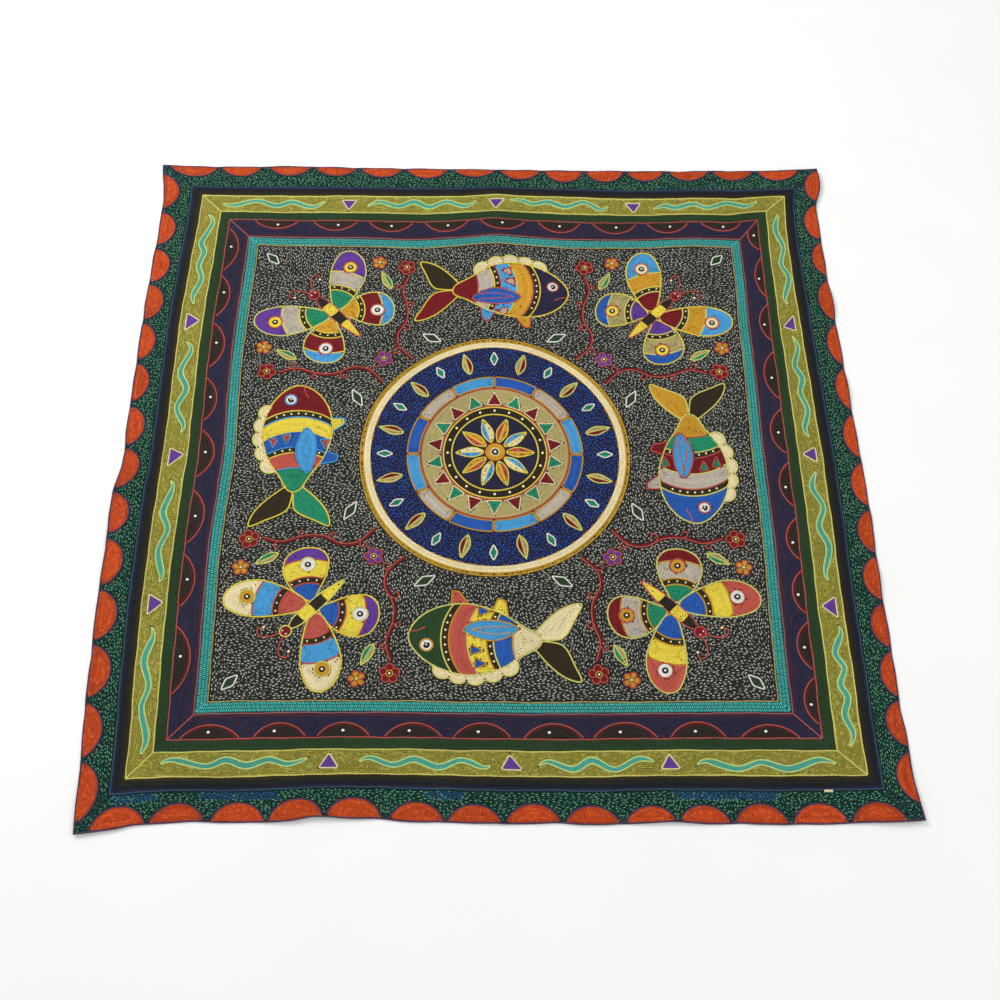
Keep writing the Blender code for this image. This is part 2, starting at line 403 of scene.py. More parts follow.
THREAD_NAMES = list(THREADS)
THREAD_COLOURS = np.array([linear(colour) for colour in THREADS.values()])


def threads_for(name, count):
    """The thread of each stitch: one thread's number repeated, or a mix of several."""
    if name not in MIXES:
        return np.full(count, THREAD_NAMES.index(name))
    numbers = [THREAD_NAMES.index(thread) for thread, share in MIXES[name]]
    return chance.choice(numbers, size=count, p=[share for thread, share in MIXES[name]])


def new_object(name, places, faces):
    mesh = bpy.data.meshes.new(name)
    mesh.from_pydata(places.tolist(), [], faces.tolist())
    mesh.polygons.foreach_set("use_smooth", np.full(len(mesh.polygons), True))
    mesh.update()
    made = bpy.data.objects.new(name, mesh)
    bpy.context.scene.collection.objects.link(made)
    return made


def dyed_object(name, places, faces, colours, uv):
    """An object with a colour for each vertex, and a map in which like colours share a place."""
    made = new_object(name, places, faces)
    mesh = made.data
    dye = mesh.color_attributes.new("thread", "FLOAT_COLOR", "POINT")
    dye.data.foreach_set("color", np.column_stack([colours, np.ones(len(colours))]).ravel())
    corner = np.empty(len(mesh.loops), dtype=np.int32)
    mesh.loops.foreach_get("vertex_index", corner)
    mesh.uv_layers.new(name="OFBake").data.foreach_set("uv", uv[corner].ravel())
    return made


def stitched_object(name, places, faces, thread, tone, strength, light, spread):
    """One object of many stitches of a form, each a row of places, and each in its thread's colour, painted
    with shade towards its foot.
    """
    first = np.arange(len(places))[:, None, None] * places.shape[1]
    crest = THREAD_COLOURS[thread[:, 0].astype(int)][:, None] * np.reshape(strength, (-1, 1, 1))
    # Painted shade: each place is darkened towards the stitch's foot by its lightness, down to GROOVE_SHADE
    colour = crest * (GROOVE_SHADE + (1 - GROOVE_SHADE) * light)[:, None]
    cell = thread * TONES + tone
    u = (cell % PALETTE_SIDE + 0.1 + 0.8 * light) / PALETTE_SIDE
    v = (cell // PALETTE_SIDE + 0.15 + 0.7 * spread) / PALETTE_SIDE
    return dyed_object(name, places.reshape(-1, 3), (first + faces).reshape(-1, 3), colour.reshape(-1, 3),
                       np.stack([u, v], axis=-1).reshape(-1, 2))


class Work:
    """Stitches of one form that become one mesh."""

    def __init__(self, name, form, back=False):
        self.name, self.back = name, back
        self.points, self.faces = (np.array(rows) for rows in STITCH_FORMS[form])
        self.rows = []

    def add(self, start, end, thread, width, height, tone=0.0):
        """Adds stitches from start to end, each an array of (x, y) rows."""
        count = len(start)
        if count == 0:
            return
        dye = 0.9 * np.sin(start[:, 0] / 31 + 2 * np.sin(start[:, 1] / 57)) * np.sin(start[:, 1] / 23)
        shade = (TONES - 1) / 2 + dye + tone + chance.normal(0, 0.75, count)
        self.rows.append(np.column_stack([
            start, end, np.broadcast_to(width, count), np.broadcast_to(height, count),
            threads_for(thread, count), np.clip(np.round(shade), 0, TONES - 1),
        ]))

    def build(self):
        rows = np.concatenate(self.rows).T[:, :, None]
        start_x, start_y, end_x, end_y, width, height, thread, tone = rows
        along, across, up, light = self.points.T
        run_x, run_y = end_x - start_x, end_y - start_y
        length = np.hypot(run_x, run_y)
        x = start_x + run_x * along - run_y / length * width * across
        y = start_y + run_y * along + run_x / length * width * across
        above = BACK_GAP - height * up if self.back else CLOTH_TOP + height * up + pucker(x, y)
        faces = self.faces if self.back else self.faces[:, ::-1]
        strength = TONE_LOW + (TONE_HIGH - TONE_LOW) * tone / (TONES - 1)
        spread = (along - along.min()) / np.ptp(along)
        places = to_model(x, y, above)
        return stitched_object(self.name, places, faces, thread, tone, strength, light, spread)


WORK = {name: Work(name, form, back=name == "hem_stitches") for name, form in [
    ("scallop_rows", "chain"), ("edge_strip_rows", "chain"), ("olive_band_rows", "chain"),
    ("inner_border_rows", "chain"), ("border_outlines", "bead"), ("figure_rows", "chain"),
    ("medallion_rows", "chain"), ("figure_outlines", "bead"), ("border_seeds", "seed"),
    ("teal_band_stitches", "seed"), ("ground_seeds", "seed"), ("hem_stitches", "seed"),
]}
KNOTS = []  # rows of x, y, half length, half width, thread number


def links_along(points, link):
    """Cuts a line into stitches of about one link's length: their starts and their ends."""
    walked = np.append(0, np.cumsum(np.hypot(*np.diff(points, axis=0).T)))
    length = walked[-1]
    if length < 0.6 * link:
        return np.empty((0, 2)), np.empty((0, 2))
    uneven = chance.uniform(0.82, 1.18, max(1, round(length / link)))
    if len(uneven) == 1 and np.array_equal(points[0], points[-1]):
        length /= 2  # a small loop gets one stitch across it
    at = np.append(0, np.cumsum(uneven)) * length / uneven.sum()
    cut = np.column_stack([np.interp(at, walked, column) for column in points.T])
    return cut[:-1], cut[1:]


# The drawing: shapes painted one over another on a grid of 1 mm, which says whose each place is

DRAWN = np.zeros((LAST + 1, LAST + 1), dtype=np.int32)
GRID_Y, GRID_X = np.mgrid[0:LAST + 1, 0:LAST + 1].astype(float)
FINE = 2  # squares to a millimetre in the grid that says where stitches already lie
COVERED = np.zeros((LAST * FINE + 1, LAST * FINE + 1), dtype=bool)
AROUND = [(dx, dy) for dx in (-1, 0, 1) for dy in (-1, 0, 1)]
shapes = []


def cover(start, end, width):
    """Marks the ground under stitches as covered."""
    along = np.linspace(-0.05, 1.05, 11)[:, None, None]
    across = np.linspace(-0.42, 0.42, 7)[None, :, None]
    run = end - start
    normal = np.column_stack([-run[:, 1], run[:, 0]]) / np.maximum(np.hypot(*run.T), 0.01)[:, None] * width
    places = [(start[:, k] + along * run[:, k] + across * normal[:, k]) * FINE for k in (1, 0)]
    COVERED[tuple(np.clip(np.round(places), 0, LAST * FINE).astype(int))] = True


class Spot:
    """A place in the drawing with axes of its own: u to its right, v downwards."""

    def __init__(self, x, y, right, down):
        self.x, self.y = x, y
        self.right, self.down = right, down
        self.scale = np.hypot(*right)

    def out(self, u, v):
        return (self.x + u * self.right[0] + v * self.down[0],
                self.y + u * self.right[1] + v * self.down[1])

    def into(self, x, y):
        x, y = (x - self.x) / self.scale**2, (y - self.y) / self.scale**2
        return x * self.right[0] + y * self.right[1], x * self.down[0] + y * self.down[1]


def turned(x, y, degrees, scale=1.0):
    """A spot turned clockwise, as seen on the cloth."""
    turn = np.radians(degrees)
    cosine, sine = scale * np.cos(turn), scale * np.sin(turn)
    return Spot(x, y, (cosine, sine), (-sine, cosine))


SIDES = {
    "top": Spot(0, 0, (1, 0), (0, 1)),
    "bottom": Spot(0, SIDE, (1, 0), (0, -1)),
    "left": Spot(0, 0, (0, 1), (1, 0)),
    "right": Spot(SIDE, 0, (0, 1), (-1, 0)),
}


class Shape:
    """One stitched shape: a field of depths inside its edge, filled with rows that follow the edge.

    depth and show are functions of u and v. A shape with no thread is only an outline, and paints nothing.
    """

    def __init__(self, spot, reach, depth, thread, rim=None, show=None, rows="figure_rows",
                 rims="figure_outlines", rim_level=RIM_DEPTH, rim_width=RIM_WIDTH, first=None,
                 row_width=LINK_WIDTH):
        x, y = spot.out(np.tile(reach[:2], 2), np.repeat(reach[2:], 2))
        self.x0, self.y0 = max(0, int(x.min()) - 1), max(0, int(y.min()) - 1)
        x1, y1 = min(LAST, int(x.max()) + 2), min(LAST, int(y.max()) + 2)
        own = slice(self.y0, y1 + 1), slice(self.x0, x1 + 1)
        u, v = spot.into(GRID_X[own], GRID_Y[own])
        self.depth = depth(u, v) * spot.scale
        self.show = (self.depth > 0) if show is None else show(u, v)
        self.thread, self.rim, self.rows, self.rims = thread, rim, rows, rims
        self.rim_level, self.rim_width, self.row_width = rim_level, rim_width, row_width
        self.first = first or (RIM_DEPTH + ROW_PITCH * 0.9 if rim else ROW_PITCH / 2)
        shapes.append(self)
        self.number = len(shapes) + 1
        if thread:
            DRAWN[own][self.show & (self.depth > 0)] = self.number

    def visible(self, x, y, filling):
        """Whether each place is this shape's and not under a later one."""
        column, row = np.round([x, y]).astype(int)
        high, wide = self.show.shape
        own = self.show[np.clip(row - self.y0, 0, high - 1), np.clip(column - self.x0, 0, wide - 1)]
        column, row = np.clip([column, row], 1, LAST - 1)
        if filling:
            around = [DRAWN[row + dy, column + dx] for dx, dy in AROUND]
            own = (np.array(around) == self.number).any(axis=0)
        return own & (DRAWN[row, column] <= self.number)

    def sew_line(self, points, work, thread, link, width, height, filling, tone=0.0):
        start, end = links_along(points, link)
        if len(start) == 0:
            return
        keep = self.visible(*((start + end) / 2).T, filling)
        WORK[work].add(start[keep], end[keep], thread, width, height, tone)
        cover(start[keep], end[keep], width)

    def sew(self):
        corner = np.array([self.x0, self.y0])
        if self.thread:
            # The rows' pitch is stretched or squeezed a little, so that they fill the shape evenly
            room = np.where(self.show, self.depth, 0).max() - self.first
            more = max(0, int(np.ceil((room - 0.6 * ROW_PITCH) / ROW_PITCH)))
            pitch = ROW_PITCH
            if more:
                pitch = np.clip((room - 0.45 * ROW_PITCH) / more, 0.75 * ROW_PITCH, 1.1 * ROW_PITCH)
            for level in self.first + pitch * np.arange(more + 1):
                tone = chance.normal(0, 0.9)
                if self.rows == "scallop_rows":
                    tone = chance.normal(-1.6 if level == self.first else 0.2, 1.7)
                for line in level_lines(self.depth, level):
                    line = line[::chance.choice([-1, 1])] + corner
                    self.sew_line(line, self.rows, self.thread, FILL_LINK, self.row_width, FILL_HEIGHT,
                                  True, tone)
        if self.rim:
            for line in level_lines(self.depth, self.rim_level):
                self.sew_line(line + corner, self.rims, self.rim, RIM_LINK, self.rim_width, RIM_HEIGHT,
                              False)

    def fill_holes(self):
        """Sews short stitches, along the rows beside them, where the rows have left a bare spot."""
        rows, columns = self.depth.shape
        fine_y, fine_x = np.mgrid[0:(rows - 1) * FINE + 1, 0:(columns - 1) * FINE + 1]
        near_y, near_x = fine_y // FINE, fine_x // FINE
        own = DRAWN[self.y0 + near_y, self.x0 + near_x] == self.number
        own &= self.depth[near_y, near_x] > self.first - 1.0
        top, left = self.y0 * FINE, self.x0 * FINE
        covered = COVERED[top:top + fine_y.shape[0], left:left + fine_x.shape[1]]
        bare = own & ~covered
        wide = bare.copy()
        for axis in (0, 1):
            wide &= np.roll(bare, 1, axis) & np.roll(bare, -1, axis)
        rise, run = np.gradient(self.depth)
        places = np.argwhere(wide)
        starts, ends = [], []
        for row, column in places[chance.permutation(len(places))]:
            if covered[row, column]:
                continue
            near = near_y[row, column], near_x[row, column]
            slope = np.array([rise[near], -run[near]])
            step = slope / max(np.hypot(*slope), 0.01) * 1.7 + chance.normal(0, 0.1, 2)
            middle = np.array([left + column, top + row]) / FINE
            starts.append(middle - step)
            ends.append(middle + step)
            cover(starts[-1][None], ends[-1][None], LINK_WIDTH)
        if starts:
            WORK[self.rows].add(np.array(starts), np.array(ends), self.thread, LINK_WIDTH * 0.9,
                                FILL_HEIGHT * 0.9)


def level_lines(field, level):
    """The lines where a grid of values crosses a level, each an array of (column, row) places."""
    above = field > level
    if above.all() or not above.any():
        return []
    flat_row, flat_column = np.nonzero(above[:, :-1] != above[:, 1:])
    tall_row, tall_column = np.nonzero(above[:-1] != above[1:])
    low, high = field[flat_row, flat_column], field[flat_row, flat_column + 1]
    flat_places = np.column_stack([flat_column + (level - low) / (high - low), flat_row])
    low, high = field[tall_row, tall_column], field[tall_row + 1, tall_column]
    tall_places = np.column_stack([tall_column, tall_row + (level - low) / (high - low)])
    places = np.concatenate([flat_places, tall_places])
    flat, tall = np.full((2, *field.shape), -1)
    flat[flat_row, flat_column] = np.arange(len(flat_row))
    tall[tall_row, tall_column] = len(flat_row) + np.arange(len(tall_row))
    sides = [flat[:-1, :-1], tall[:-1, :-1], flat[1:, :-1], tall[:-1, 1:]]
    sides = np.stack(sides, axis=-1).reshape(-1, 4)
    crossed = (sides >= 0).sum(axis=1)
    two = sides[crossed == 2]
    pairs = [two[two >= 0].reshape(-1, 2), sides[crossed == 4][:, :2], sides[crossed == 4][:, 2:]]
    return [places[chain] for chain in chains_of(np.concatenate(pairs).tolist())]


def chains_of(pairs):
    """Joins pairs of numbers end to end into chains."""
    beside = {}
    for a, b in pairs:
        beside.setdefault(a, []).append(b)
        beside.setdefault(b, []).append(a)
    chains = []
    for here in [number for number, near in beside.items() if len(near) == 1] + list(beside):
        chain = [here]
        while beside[here]:
            after = beside[here].pop()
            beside[after].remove(here)
            chain.append(after)
            here = after
        if len(chain) > 2:
            chains.append(chain)
    return chains


def curve_through(points, closed=False, step=3.0):
    """A smooth line through given points."""
    points = np.array(points, float)
    before, after = (points[-1:], points[:2]) if closed else (points[:1], points[-1:])
    around = np.concatenate([before, points, after])
    line = []
    for before, a, b, after in zip(around, around[1:], around[2:], around[3:]):
        count = max(2, int(np.hypot(*(b - a)) / step))
        t = np.arange(count)[:, None] / count
        line.append(0.5 * (2 * a + (b - before) * t + (2 * before - 5 * a + 4 * b - after) * t**2
                           + (3 * a - before - 3 * b + after) * t**3))
    if not closed:
        line.append(points[-1:])
    return np.concatenate(line)


# Fields of depths: each says how far inside a form a place is, less than 0 outside it

def inside_of(points, u, v):
    """Distance inside a closed outline at each place: positive inside, negative outside."""
    away = np.full(u.shape, np.inf)
    enclosed = np.zeros(u.shape, dtype=bool)
    for (au, av), (bu, bv) in zip(points, np.roll(points, -1, axis=0)):
        run_u, run_v = bu - au, bv - av
        t = np.clip(((u - au) * run_u + (v - av) * run_v) / max(run_u**2 + run_v**2, 1e-9), 0, 1)
        away = np.minimum(away, (u - au - t * run_u) ** 2 + (v - av - t * run_v) ** 2)
        slope = run_u / run_v if run_v else 0.0
        enclosed ^= ((av > v) != (bv > v)) & (u < au + (v - av) * slope)
    return np.where(enclosed, 1, -1) * np.sqrt(away)


def sharp(points):
    """A form with straight sides."""
    outline = np.array(points, float)
    return lambda u, v: inside_of(outline, u, v)


def blob(points):
    """A form with a smooth outline through given points."""
    return sharp(curve_through(points, closed=True))


def disc(radius, u_mid=0.0, v_mid=0.0):
    return lambda u, v: radius - np.hypot(u - u_mid, v - v_mid)


def within(*fields):
    return lambda u, v: np.minimum.reduce([field(u, v) for field in fields])


def either(*fields):
    return lambda u, v: np.maximum.reduce([field(u, v) for field in fields])


def outside(field, by=0.0):
    return lambda u, v: -field(u, v) - by


def shrunk(field, by):
    return lambda u, v: field(u, v) - by


def ring(outer, inner, u_mid=0.0, v_mid=0.0):
    return within(disc(outer, u_mid, v_mid), outside(disc(inner, u_mid, v_mid)))


# Ways to sew

def box_of(points, margin):
    u, v = np.array(points, float).T
    return u.min() - margin, u.max() + margin, v.min() - margin, v.max() + margin


def outlined(spot, points, thread, rim, margin=2.0, form=sharp, **more):
    """A shape inside an outline of points."""
    Shape(spot, box_of(points, margin), form(points), thread, rim=rim, **more)


def rounded(spot, u, v, radius, half, thread, **more):
    """A round shape, drawn in a square that reaches half to each side of its middle."""
    Shape(spot, (u - half, u + half, v - half, v + half), disc(radius, u, v), thread, **more)


def thread_line(spot, points, thread, work="figure_outlines", width=RIM_WIDTH, height=RIM_HEIGHT,
                link=RIM_LINK, clear=True):
    """A row of chain stitch along given points. It keeps the ground's seeds off."""
    start, end = links_along(np.column_stack(spot.out(*np.array(points, float).T)), link)
    WORK[work].add(start, end, thread, width, height)
    cover(start, end, width)
    if clear:
        column, row = np.round((start + end).T / 2).astype(int)
        for dx, dy in AROUND:
            spots = np.clip(row + dy, 0, LAST), np.clip(column + dx, 0, LAST)
            DRAWN[spots] = np.maximum(DRAWN[spots], 1)


def knot(spot, u, v, thread, size, long=1.0):
    """A raised dot of wound thread."""
    KNOTS.append((*spot.out(u, v), size * long, size, THREAD_NAMES.index(thread)))


def side_row(side, depth, thread, work, link, width=LINK_WIDTH, height=FILL_HEIGHT, start=None):
    """One row along a side at a steady depth, from mitre to mitre, a little unsteady as hand work is."""
    start = depth if start is None else start
    along = np.linspace(start, SIDE - start, SIDE_POINTS)
    waver = 0.35 * np.sin(along / 19 + depth) + 0.25 * np.sin(along / 7.3 + 3 * depth)
    starts, ends = links_along(np.column_stack(SIDES[side].out(along, depth + waver)), link)
    WORK[work].add(starts, ends, thread, width, height, chance.normal(0, 0.8))


def side_stitches(spot, work, thread, starts, near, ends, far, width, height):
    """Short stitches along a side, each from one depth to another."""
    start = np.column_stack(spot.out(starts, np.full(len(starts), near)))
    end = np.column_stack(spot.out(ends, np.full(len(ends), far)))
    WORK[work].add(start, end, thread, width, height)


def slanting_rows(spot, work, thread, depths, width, height):
    """Rows of short stitches across a band, leaning to and fro."""
    for row, near in enumerate(depths):
        along = np.arange(near + 1, SIDE - near - 1, SLANT_PITCH)
        along = along + chance.uniform(-0.35, 0.35, len(along))
        lean = SLANT_LEAN if row % 2 else -SLANT_LEAN
        side_stitches(spot, work, thread, along - lean / 2, near, along + lean / 2, near + SLANT_REACH,
                      width, height)


# The border

def segment(place, chord, height, base):
    """A circle segment that stands on a straight base: the circle's field and its reach."""
    radius = (chord**2 / 4 + height**2) / (2 * height)
    circle = disc(radius, place, base + height - radius)
    return circle, (place - chord / 2 - 1, place + chord / 2 + 1, base, base + height + 1)


def rooms_of(places):
    """The room that each place has between its neighbours."""
    gaps = np.diff(places)
    return np.minimum(np.append(gaps, gaps[-1]), np.insert(gaps, 0, gaps[0]))


def make_scallops():
    for side, places in SCALLOP_PLACES.items():
        middles = settled(side, places, SCALLOP_DEPTH)
        heights = smooth_through(SCALLOP_HEIGHTS[side], np.array(places, float))
        for place, room, height in zip(middles, rooms_of(middles), heights):
            circle, reach = segment(place, room - 2, height, 1.0)
            half_moon = within(circle, lambda u, v: v - 0.1)
            Shape(SIDES[side], reach, half_moon, "brick mix", first=3.4, rows="scallop_rows")
            Shape(SIDES[side], reach, circle, None, rim="violet", show=lambda u, v: v > 2.0,
                  rims="border_outlines")
        side_row(side, 1.1, "violet", "border_outlines", RIM_LINK, 2.0, 1.1, start=0.5)


def ribbon(side, turns):
    """The outline of a wavy ribbon through its turning points, pointed at both ends."""
    places, offsets = np.array(turns, float).T
    line = curve_through(np.column_stack([settled(side, places, BAND_MIDDLE), BAND_MIDDLE + offsets]))
    way = np.gradient(line, axis=0)
    normal = np.column_stack([way[:, 1], -way[:, 0]]) / np.hypot(*way.T)[:, None]
    t = np.linspace(0, 1, len(line))
    phase = chance.uniform(0, 6)
    taper = np.clip(np.minimum(t, 1 - t) * 7, 0.03, 1) ** 0.6
    half = RIBBON_HALF * taper * (1 + 0.1 * np.sin(11 * t + phase))
    return np.concatenate([line + normal * half[:, None], (line - normal * half[:, None])[::-1]])


def mitred(margin):
    return lambda u, v: (u > v + margin) & (u < SIDE - v - margin)


def make_olive_band():
    band = {"rows": "olive_band_rows", "rims": "border_outlines"}
    for side, spot in SIDES.items():
        ribbons = [ribbon(side, turns) for turns in RIBBONS[side]]
        triangles = [np.column_stack([places + TRIANGLE_SPREAD, TRIANGLE_DEPTHS])
                     for places in settled(side, TRIANGLES[side], BAND_MIDDLE)]
        around = within(*[outside(sharp(outline), 0.4) for outline in ribbons + triangles])

        def field(u, v):
            wander = 0.5 * np.sin(u / 17) + 0.4 * np.sin(u / 6.1 + v / 9)
            outer, inner = v - OLIVE_ENDS[0] + wander * 0.3, OLIVE_ENDS[1] - v + wander * 0.3
            return np.minimum.reduce([outer, inner, around(u, v) + wander])

        Shape(spot, (CREAM_OUTER, SIDE - CREAM_OUTER, CREAM_OUTER, CREAM_INNER), field, "olive mix",
              show=mitred(0.8), row_width=OLIVE_ROW_WIDTH, **band)
        for outline in ribbons:
            half = len(outline) // 2
            spine = (outline[:half] + outline[::-1][:half])[3:-3] / 2
            thread_line(spot, spine, "turquoise", "olive_band_rows", LINK_WIDTH, FILL_HEIGHT, FILL_LINK)
            outlined(spot, outline, "turquoise", "lime", rim_width=RIBBON_RIM, **band)
        for outline in triangles:
            outlined(spot, outline, "purple", "pale cream", **band)


def make_navy_band():
    band = {"rows": "inner_border_rows", "rims": "border_outlines"}
    base = CORAL_LINE + 1

    def show(u, v):
        return (v > CORAL_LINE + 1.6) & mitred(1.6)(u, v)

    for side, spot in SIDES.items():
        rows = np.array(MOONS[side], float)
        moons = []
        places = settled(side, rows[:, :3], MOON_DEPTH)
        for start, end, tie, height in np.column_stack([places, rows[:, 3]]):
            start = max(start, base)
            moons.append((*segment((start + end) / 2, end - start, height, base), tie))
        around = [outside(circle, 0.2) for circle, reach, tie in moons]
        field = within(lambda u, v: v - CORAL_LINE - 0.8, lambda u, v: NAVY_END - v, *around)
        Shape(spot, (CORAL_LINE, SIDE - CORAL_LINE, CORAL_LINE, PINK_LINE - 4), field, "navy mix",
              show=mitred(0.8), **band)
        for circle, reach, tie in moons:
            Shape(spot, reach, circle, "wine", rim="coral mix", show=show, rim_width=1.9, **band)
            Shape(spot, reach, shrunk(circle, 4.6), "moon", show=show, **band)
            knot(spot, tie, CORAL_LINE + 9.5, "white", size=2.0, long=1.15)
        for depth in PLUM_ROWS:
            side_row(side, depth, "plum", "inner_border_rows", STRIPE_LINK)


def make_plain_bands():
    """The dark strips, the dark green band, and the lines that part the bands."""
    for side, spot in SIDES.items():
        for depth, thread in STRIP_ROWS:
            side_row(side, depth, thread, "edge_strip_rows", STRIPE_LINK)
        slanting_rows(spot, "inner_border_rows", "dark green", GREEN_ROWS, 2.5, FILL_HEIGHT)
        for depth, thread, width in BORDER_LINES:
            side_row(side, depth, thread, "border_outlines", RIM_LINK, width, RIM_HEIGHT)
    for low, high, thread in [(CREAM_OUTER, CREAM_INNER, "cream"), (CORAL_LINE, PINK_LINE, "coral mix")]:
        for corner in [(0, 0), (SIDE, 0), (0, SIDE), (SIDE, SIDE)]:
            mitre = np.abs(np.array(corner) - [[low], [high]])
            WORK["border_outlines"].add(*links_along(mitre, RIM_LINK), thread, RIM_WIDTH, RIM_HEIGHT)


def make_teal_band():
    for spot in SIDES.values():
        slanting_rows(spot, "teal_band_stitches", "teal", TEAL_ROWS, 2.2, 1.0)


# The ground's seed stitches

def depth_at(x, y):
    return np.minimum.reduce([x, y, SIDE - x, SIDE - y])


def blur(field, half):
    for axis in (0, 1):
        margin = [(half + 1, half) if axis == way else (0, 0) for way in (0, 1)]
        total = np.moveaxis(np.cumsum(np.pad(field, margin, mode="edge"), axis=axis), axis, 0)
        field = np.moveaxis((total[2 * half + 1:] - total[:-2 * half - 1]) / (2 * half + 1), 0, axis)
    return field


def seed_angles(free):
    """The way each seed lies: along whatever edge is near, and in slow swirls elsewhere."""
    down, right = np.gradient(blur(blur((~free).astype(float), 5), 4))
    x, y = GRID_X, GRID_Y
    swirl = 1.1 * np.sin(x / 61 + 1.3 * np.sin(y / 83)) + 0.9 * np.sin(y / 53 + 1.7 * np.sin(x / 97)) + 0.3
    edge_way = np.arctan2(down, right) + np.pi / 2
    weight = np.clip(np.hypot(right, down) * 28, 0, 1)
    cosine = weight * np.cos(2 * edge_way) + (1 - weight) * np.cos(2 * swirl) * 0.6
    sine = weight * np.sin(2 * edge_way) + (1 - weight) * np.sin(2 * swirl) * 0.6
    return np.arctan2(sine, cosine) / 2


def scatter(allowed, angles, length, width):
    """Seeds thrown at random, as rows of x, y and way: each keeps its distance, most along its own way."""
    rows, columns = np.nonzero(allowed)
    order = np.concatenate([chance.permutation(len(rows)) for _ in (1, 2)])[: int(len(rows) * 1.2)]
    x = columns[order] + chance.uniform(-0.5, 0.5, len(order))
    y = rows[order] + chance.uniform(-0.5, 0.5, len(order))
    way = angles[rows[order], columns[order]]
    kept, taken = [], {}
    thrown = zip(x.tolist(), y.tolist(), np.cos(way).tolist(), np.sin(way).tolist())
    for k, (px, py, c, s) in enumerate(thrown):
        column, row = int(px // length), int(py // length)
        near = [place for dx, dy in AROUND for place in taken.get((column + dx, row + dy), ())]
        if not any((((px - qx) * c + (py - qy) * s) / length) ** 2
                   + (((py - qy) * c - (px - qx) * s) / width) ** 2 < 1 for qx, qy in near):
            kept.append(k)
            taken.setdefault((column, row), []).append((px, py))
    return np.array([x[kept], y[kept], way[kept]])


def sew_seeds(work, seeds, thread):
    x, y, way = seeds
    way = way + chance.normal(0, 0.13, len(x))
    half = chance.uniform(1.75, 2.35, len(x))
    step = np.column_stack([np.cos(way) * half, np.sin(way) * half])
    middle = np.column_stack([x, y])
    WORK[work].add(middle - step, middle + step, thread, chance.uniform(1.5, 1.9, len(x)), 0.75)


def in_blue_stretch(x, y):
    """Whether each place lies in a blue stretch of the lower border."""
    from_below = SIDE - y
    inside = np.zeros(x.shape, dtype=bool)
    for start, end in settled("bottom", BLUE_STRETCHES, (BLUE_DEPTH + GREEN_END) / 2):
        inside |= (from_below > BLUE_DEPTH) & (from_below < GREEN_END) & (x > start) & (x < end)
    return inside


def make_seeds():
    depth, radius = depth_at(GRID_X, GRID_Y), np.hypot(GRID_X - MIDDLE, GRID_Y - MIDDLE)
    free = (DRAWN == 0) & ((depth < GREEN_END - 1) | (depth > OCHRE_LINE + 1))
    angles = seed_angles(free & (depth > 2))
    clear = free.copy()
    for axis in (0, 1):
        for step in (-2, -1, 1, 2):
            clear &= np.roll(free, step, axis)
    border = clear & (depth > 3.6) & (depth < GREEN_END - 2.6)
    blue = in_blue_stretch(GRID_X, GRID_Y)
    off_rim = (radius > DISC_RADIUS + DISC_RIM + 2) | (radius < DISC_RADIUS - 2)
    sew_seeds("border_seeds", scatter(border & blue, angles, *BLUE_ROOM), "denim mix")
    seeds = scatter(border & ~blue, angles, *BORDER_ROOM)
    across, down = np.minimum(seeds[:2], SIDE - seeds[:2])
    mitre = (np.abs(across - down) < 9) & (np.maximum(across, down) < GREEN_END)
    edge = (np.minimum(across, down) < 8) | mitre
    sew_seeds("border_seeds", seeds[:, edge], "corner mix")
    sew_seeds("border_seeds", seeds[:, ~edge], "field mix")
    seeds = scatter(clear & (depth > OCHRE_LINE + 2.6) & off_rim, angles, *GROUND_ROOM)
    middle = np.hypot(*(seeds[:2] - MIDDLE)) < DISC_RADIUS
    sew_seeds("ground_seeds", seeds[:, middle], "blue mix")
    sew_seeds("ground_seeds", seeds[:, ~middle], "silver mix")


# The figures of the panel

def polar(radius, angle):
    return radius * np.cos(angle), radius * np.sin(angle)


def arc_cut(place):
    """A field that is positive behind an arc across a figure, bowed forwards."""
    return lambda u, v: ARC - np.hypot(u - (place - ARC), v)


# A fish, its nose to the right. Columns: u, v
FISH_BODY = [(82, 0), (72, -20), (48, -37), (14, -45), (-22, -38), (-50, -20), (-70, -7), (-70, 7),
             (-50, 18), (-22, 34), (14, 43), (48, 38), (72, 22)]
FISH_TAIL = [(-60, -2), (-76, -26), (-98, -44), (-118, -48), (-110, -28), (-100, -8), (-88, -1)]
FISH_FIN = [(20, 10), (6, 1), (-14, -3), (-34, 3), (-46, 14), (-34, 21), (-14, 24), (8, 21)]
FISH_CREST = [(40, -38), (22, -43), (3, -44), (-16, -40), (-34, -32)]
FISH_BELLY = ([(8, 36), (24, 58), (34, 60), (34, 36)], [(-34, 26), (-30, 48), (-20, 52), (-12, 32)])
FISH_EYE = (60, -10)
FISH_REACH = (-76, 86, -48, 48)
# Cuts across a fish from the head backwards, and the thread between each cut and the next
FISH_CUTS = [44, 35, 14, -8, -16, -38]
ARC = 70.0  # radius of the cuts


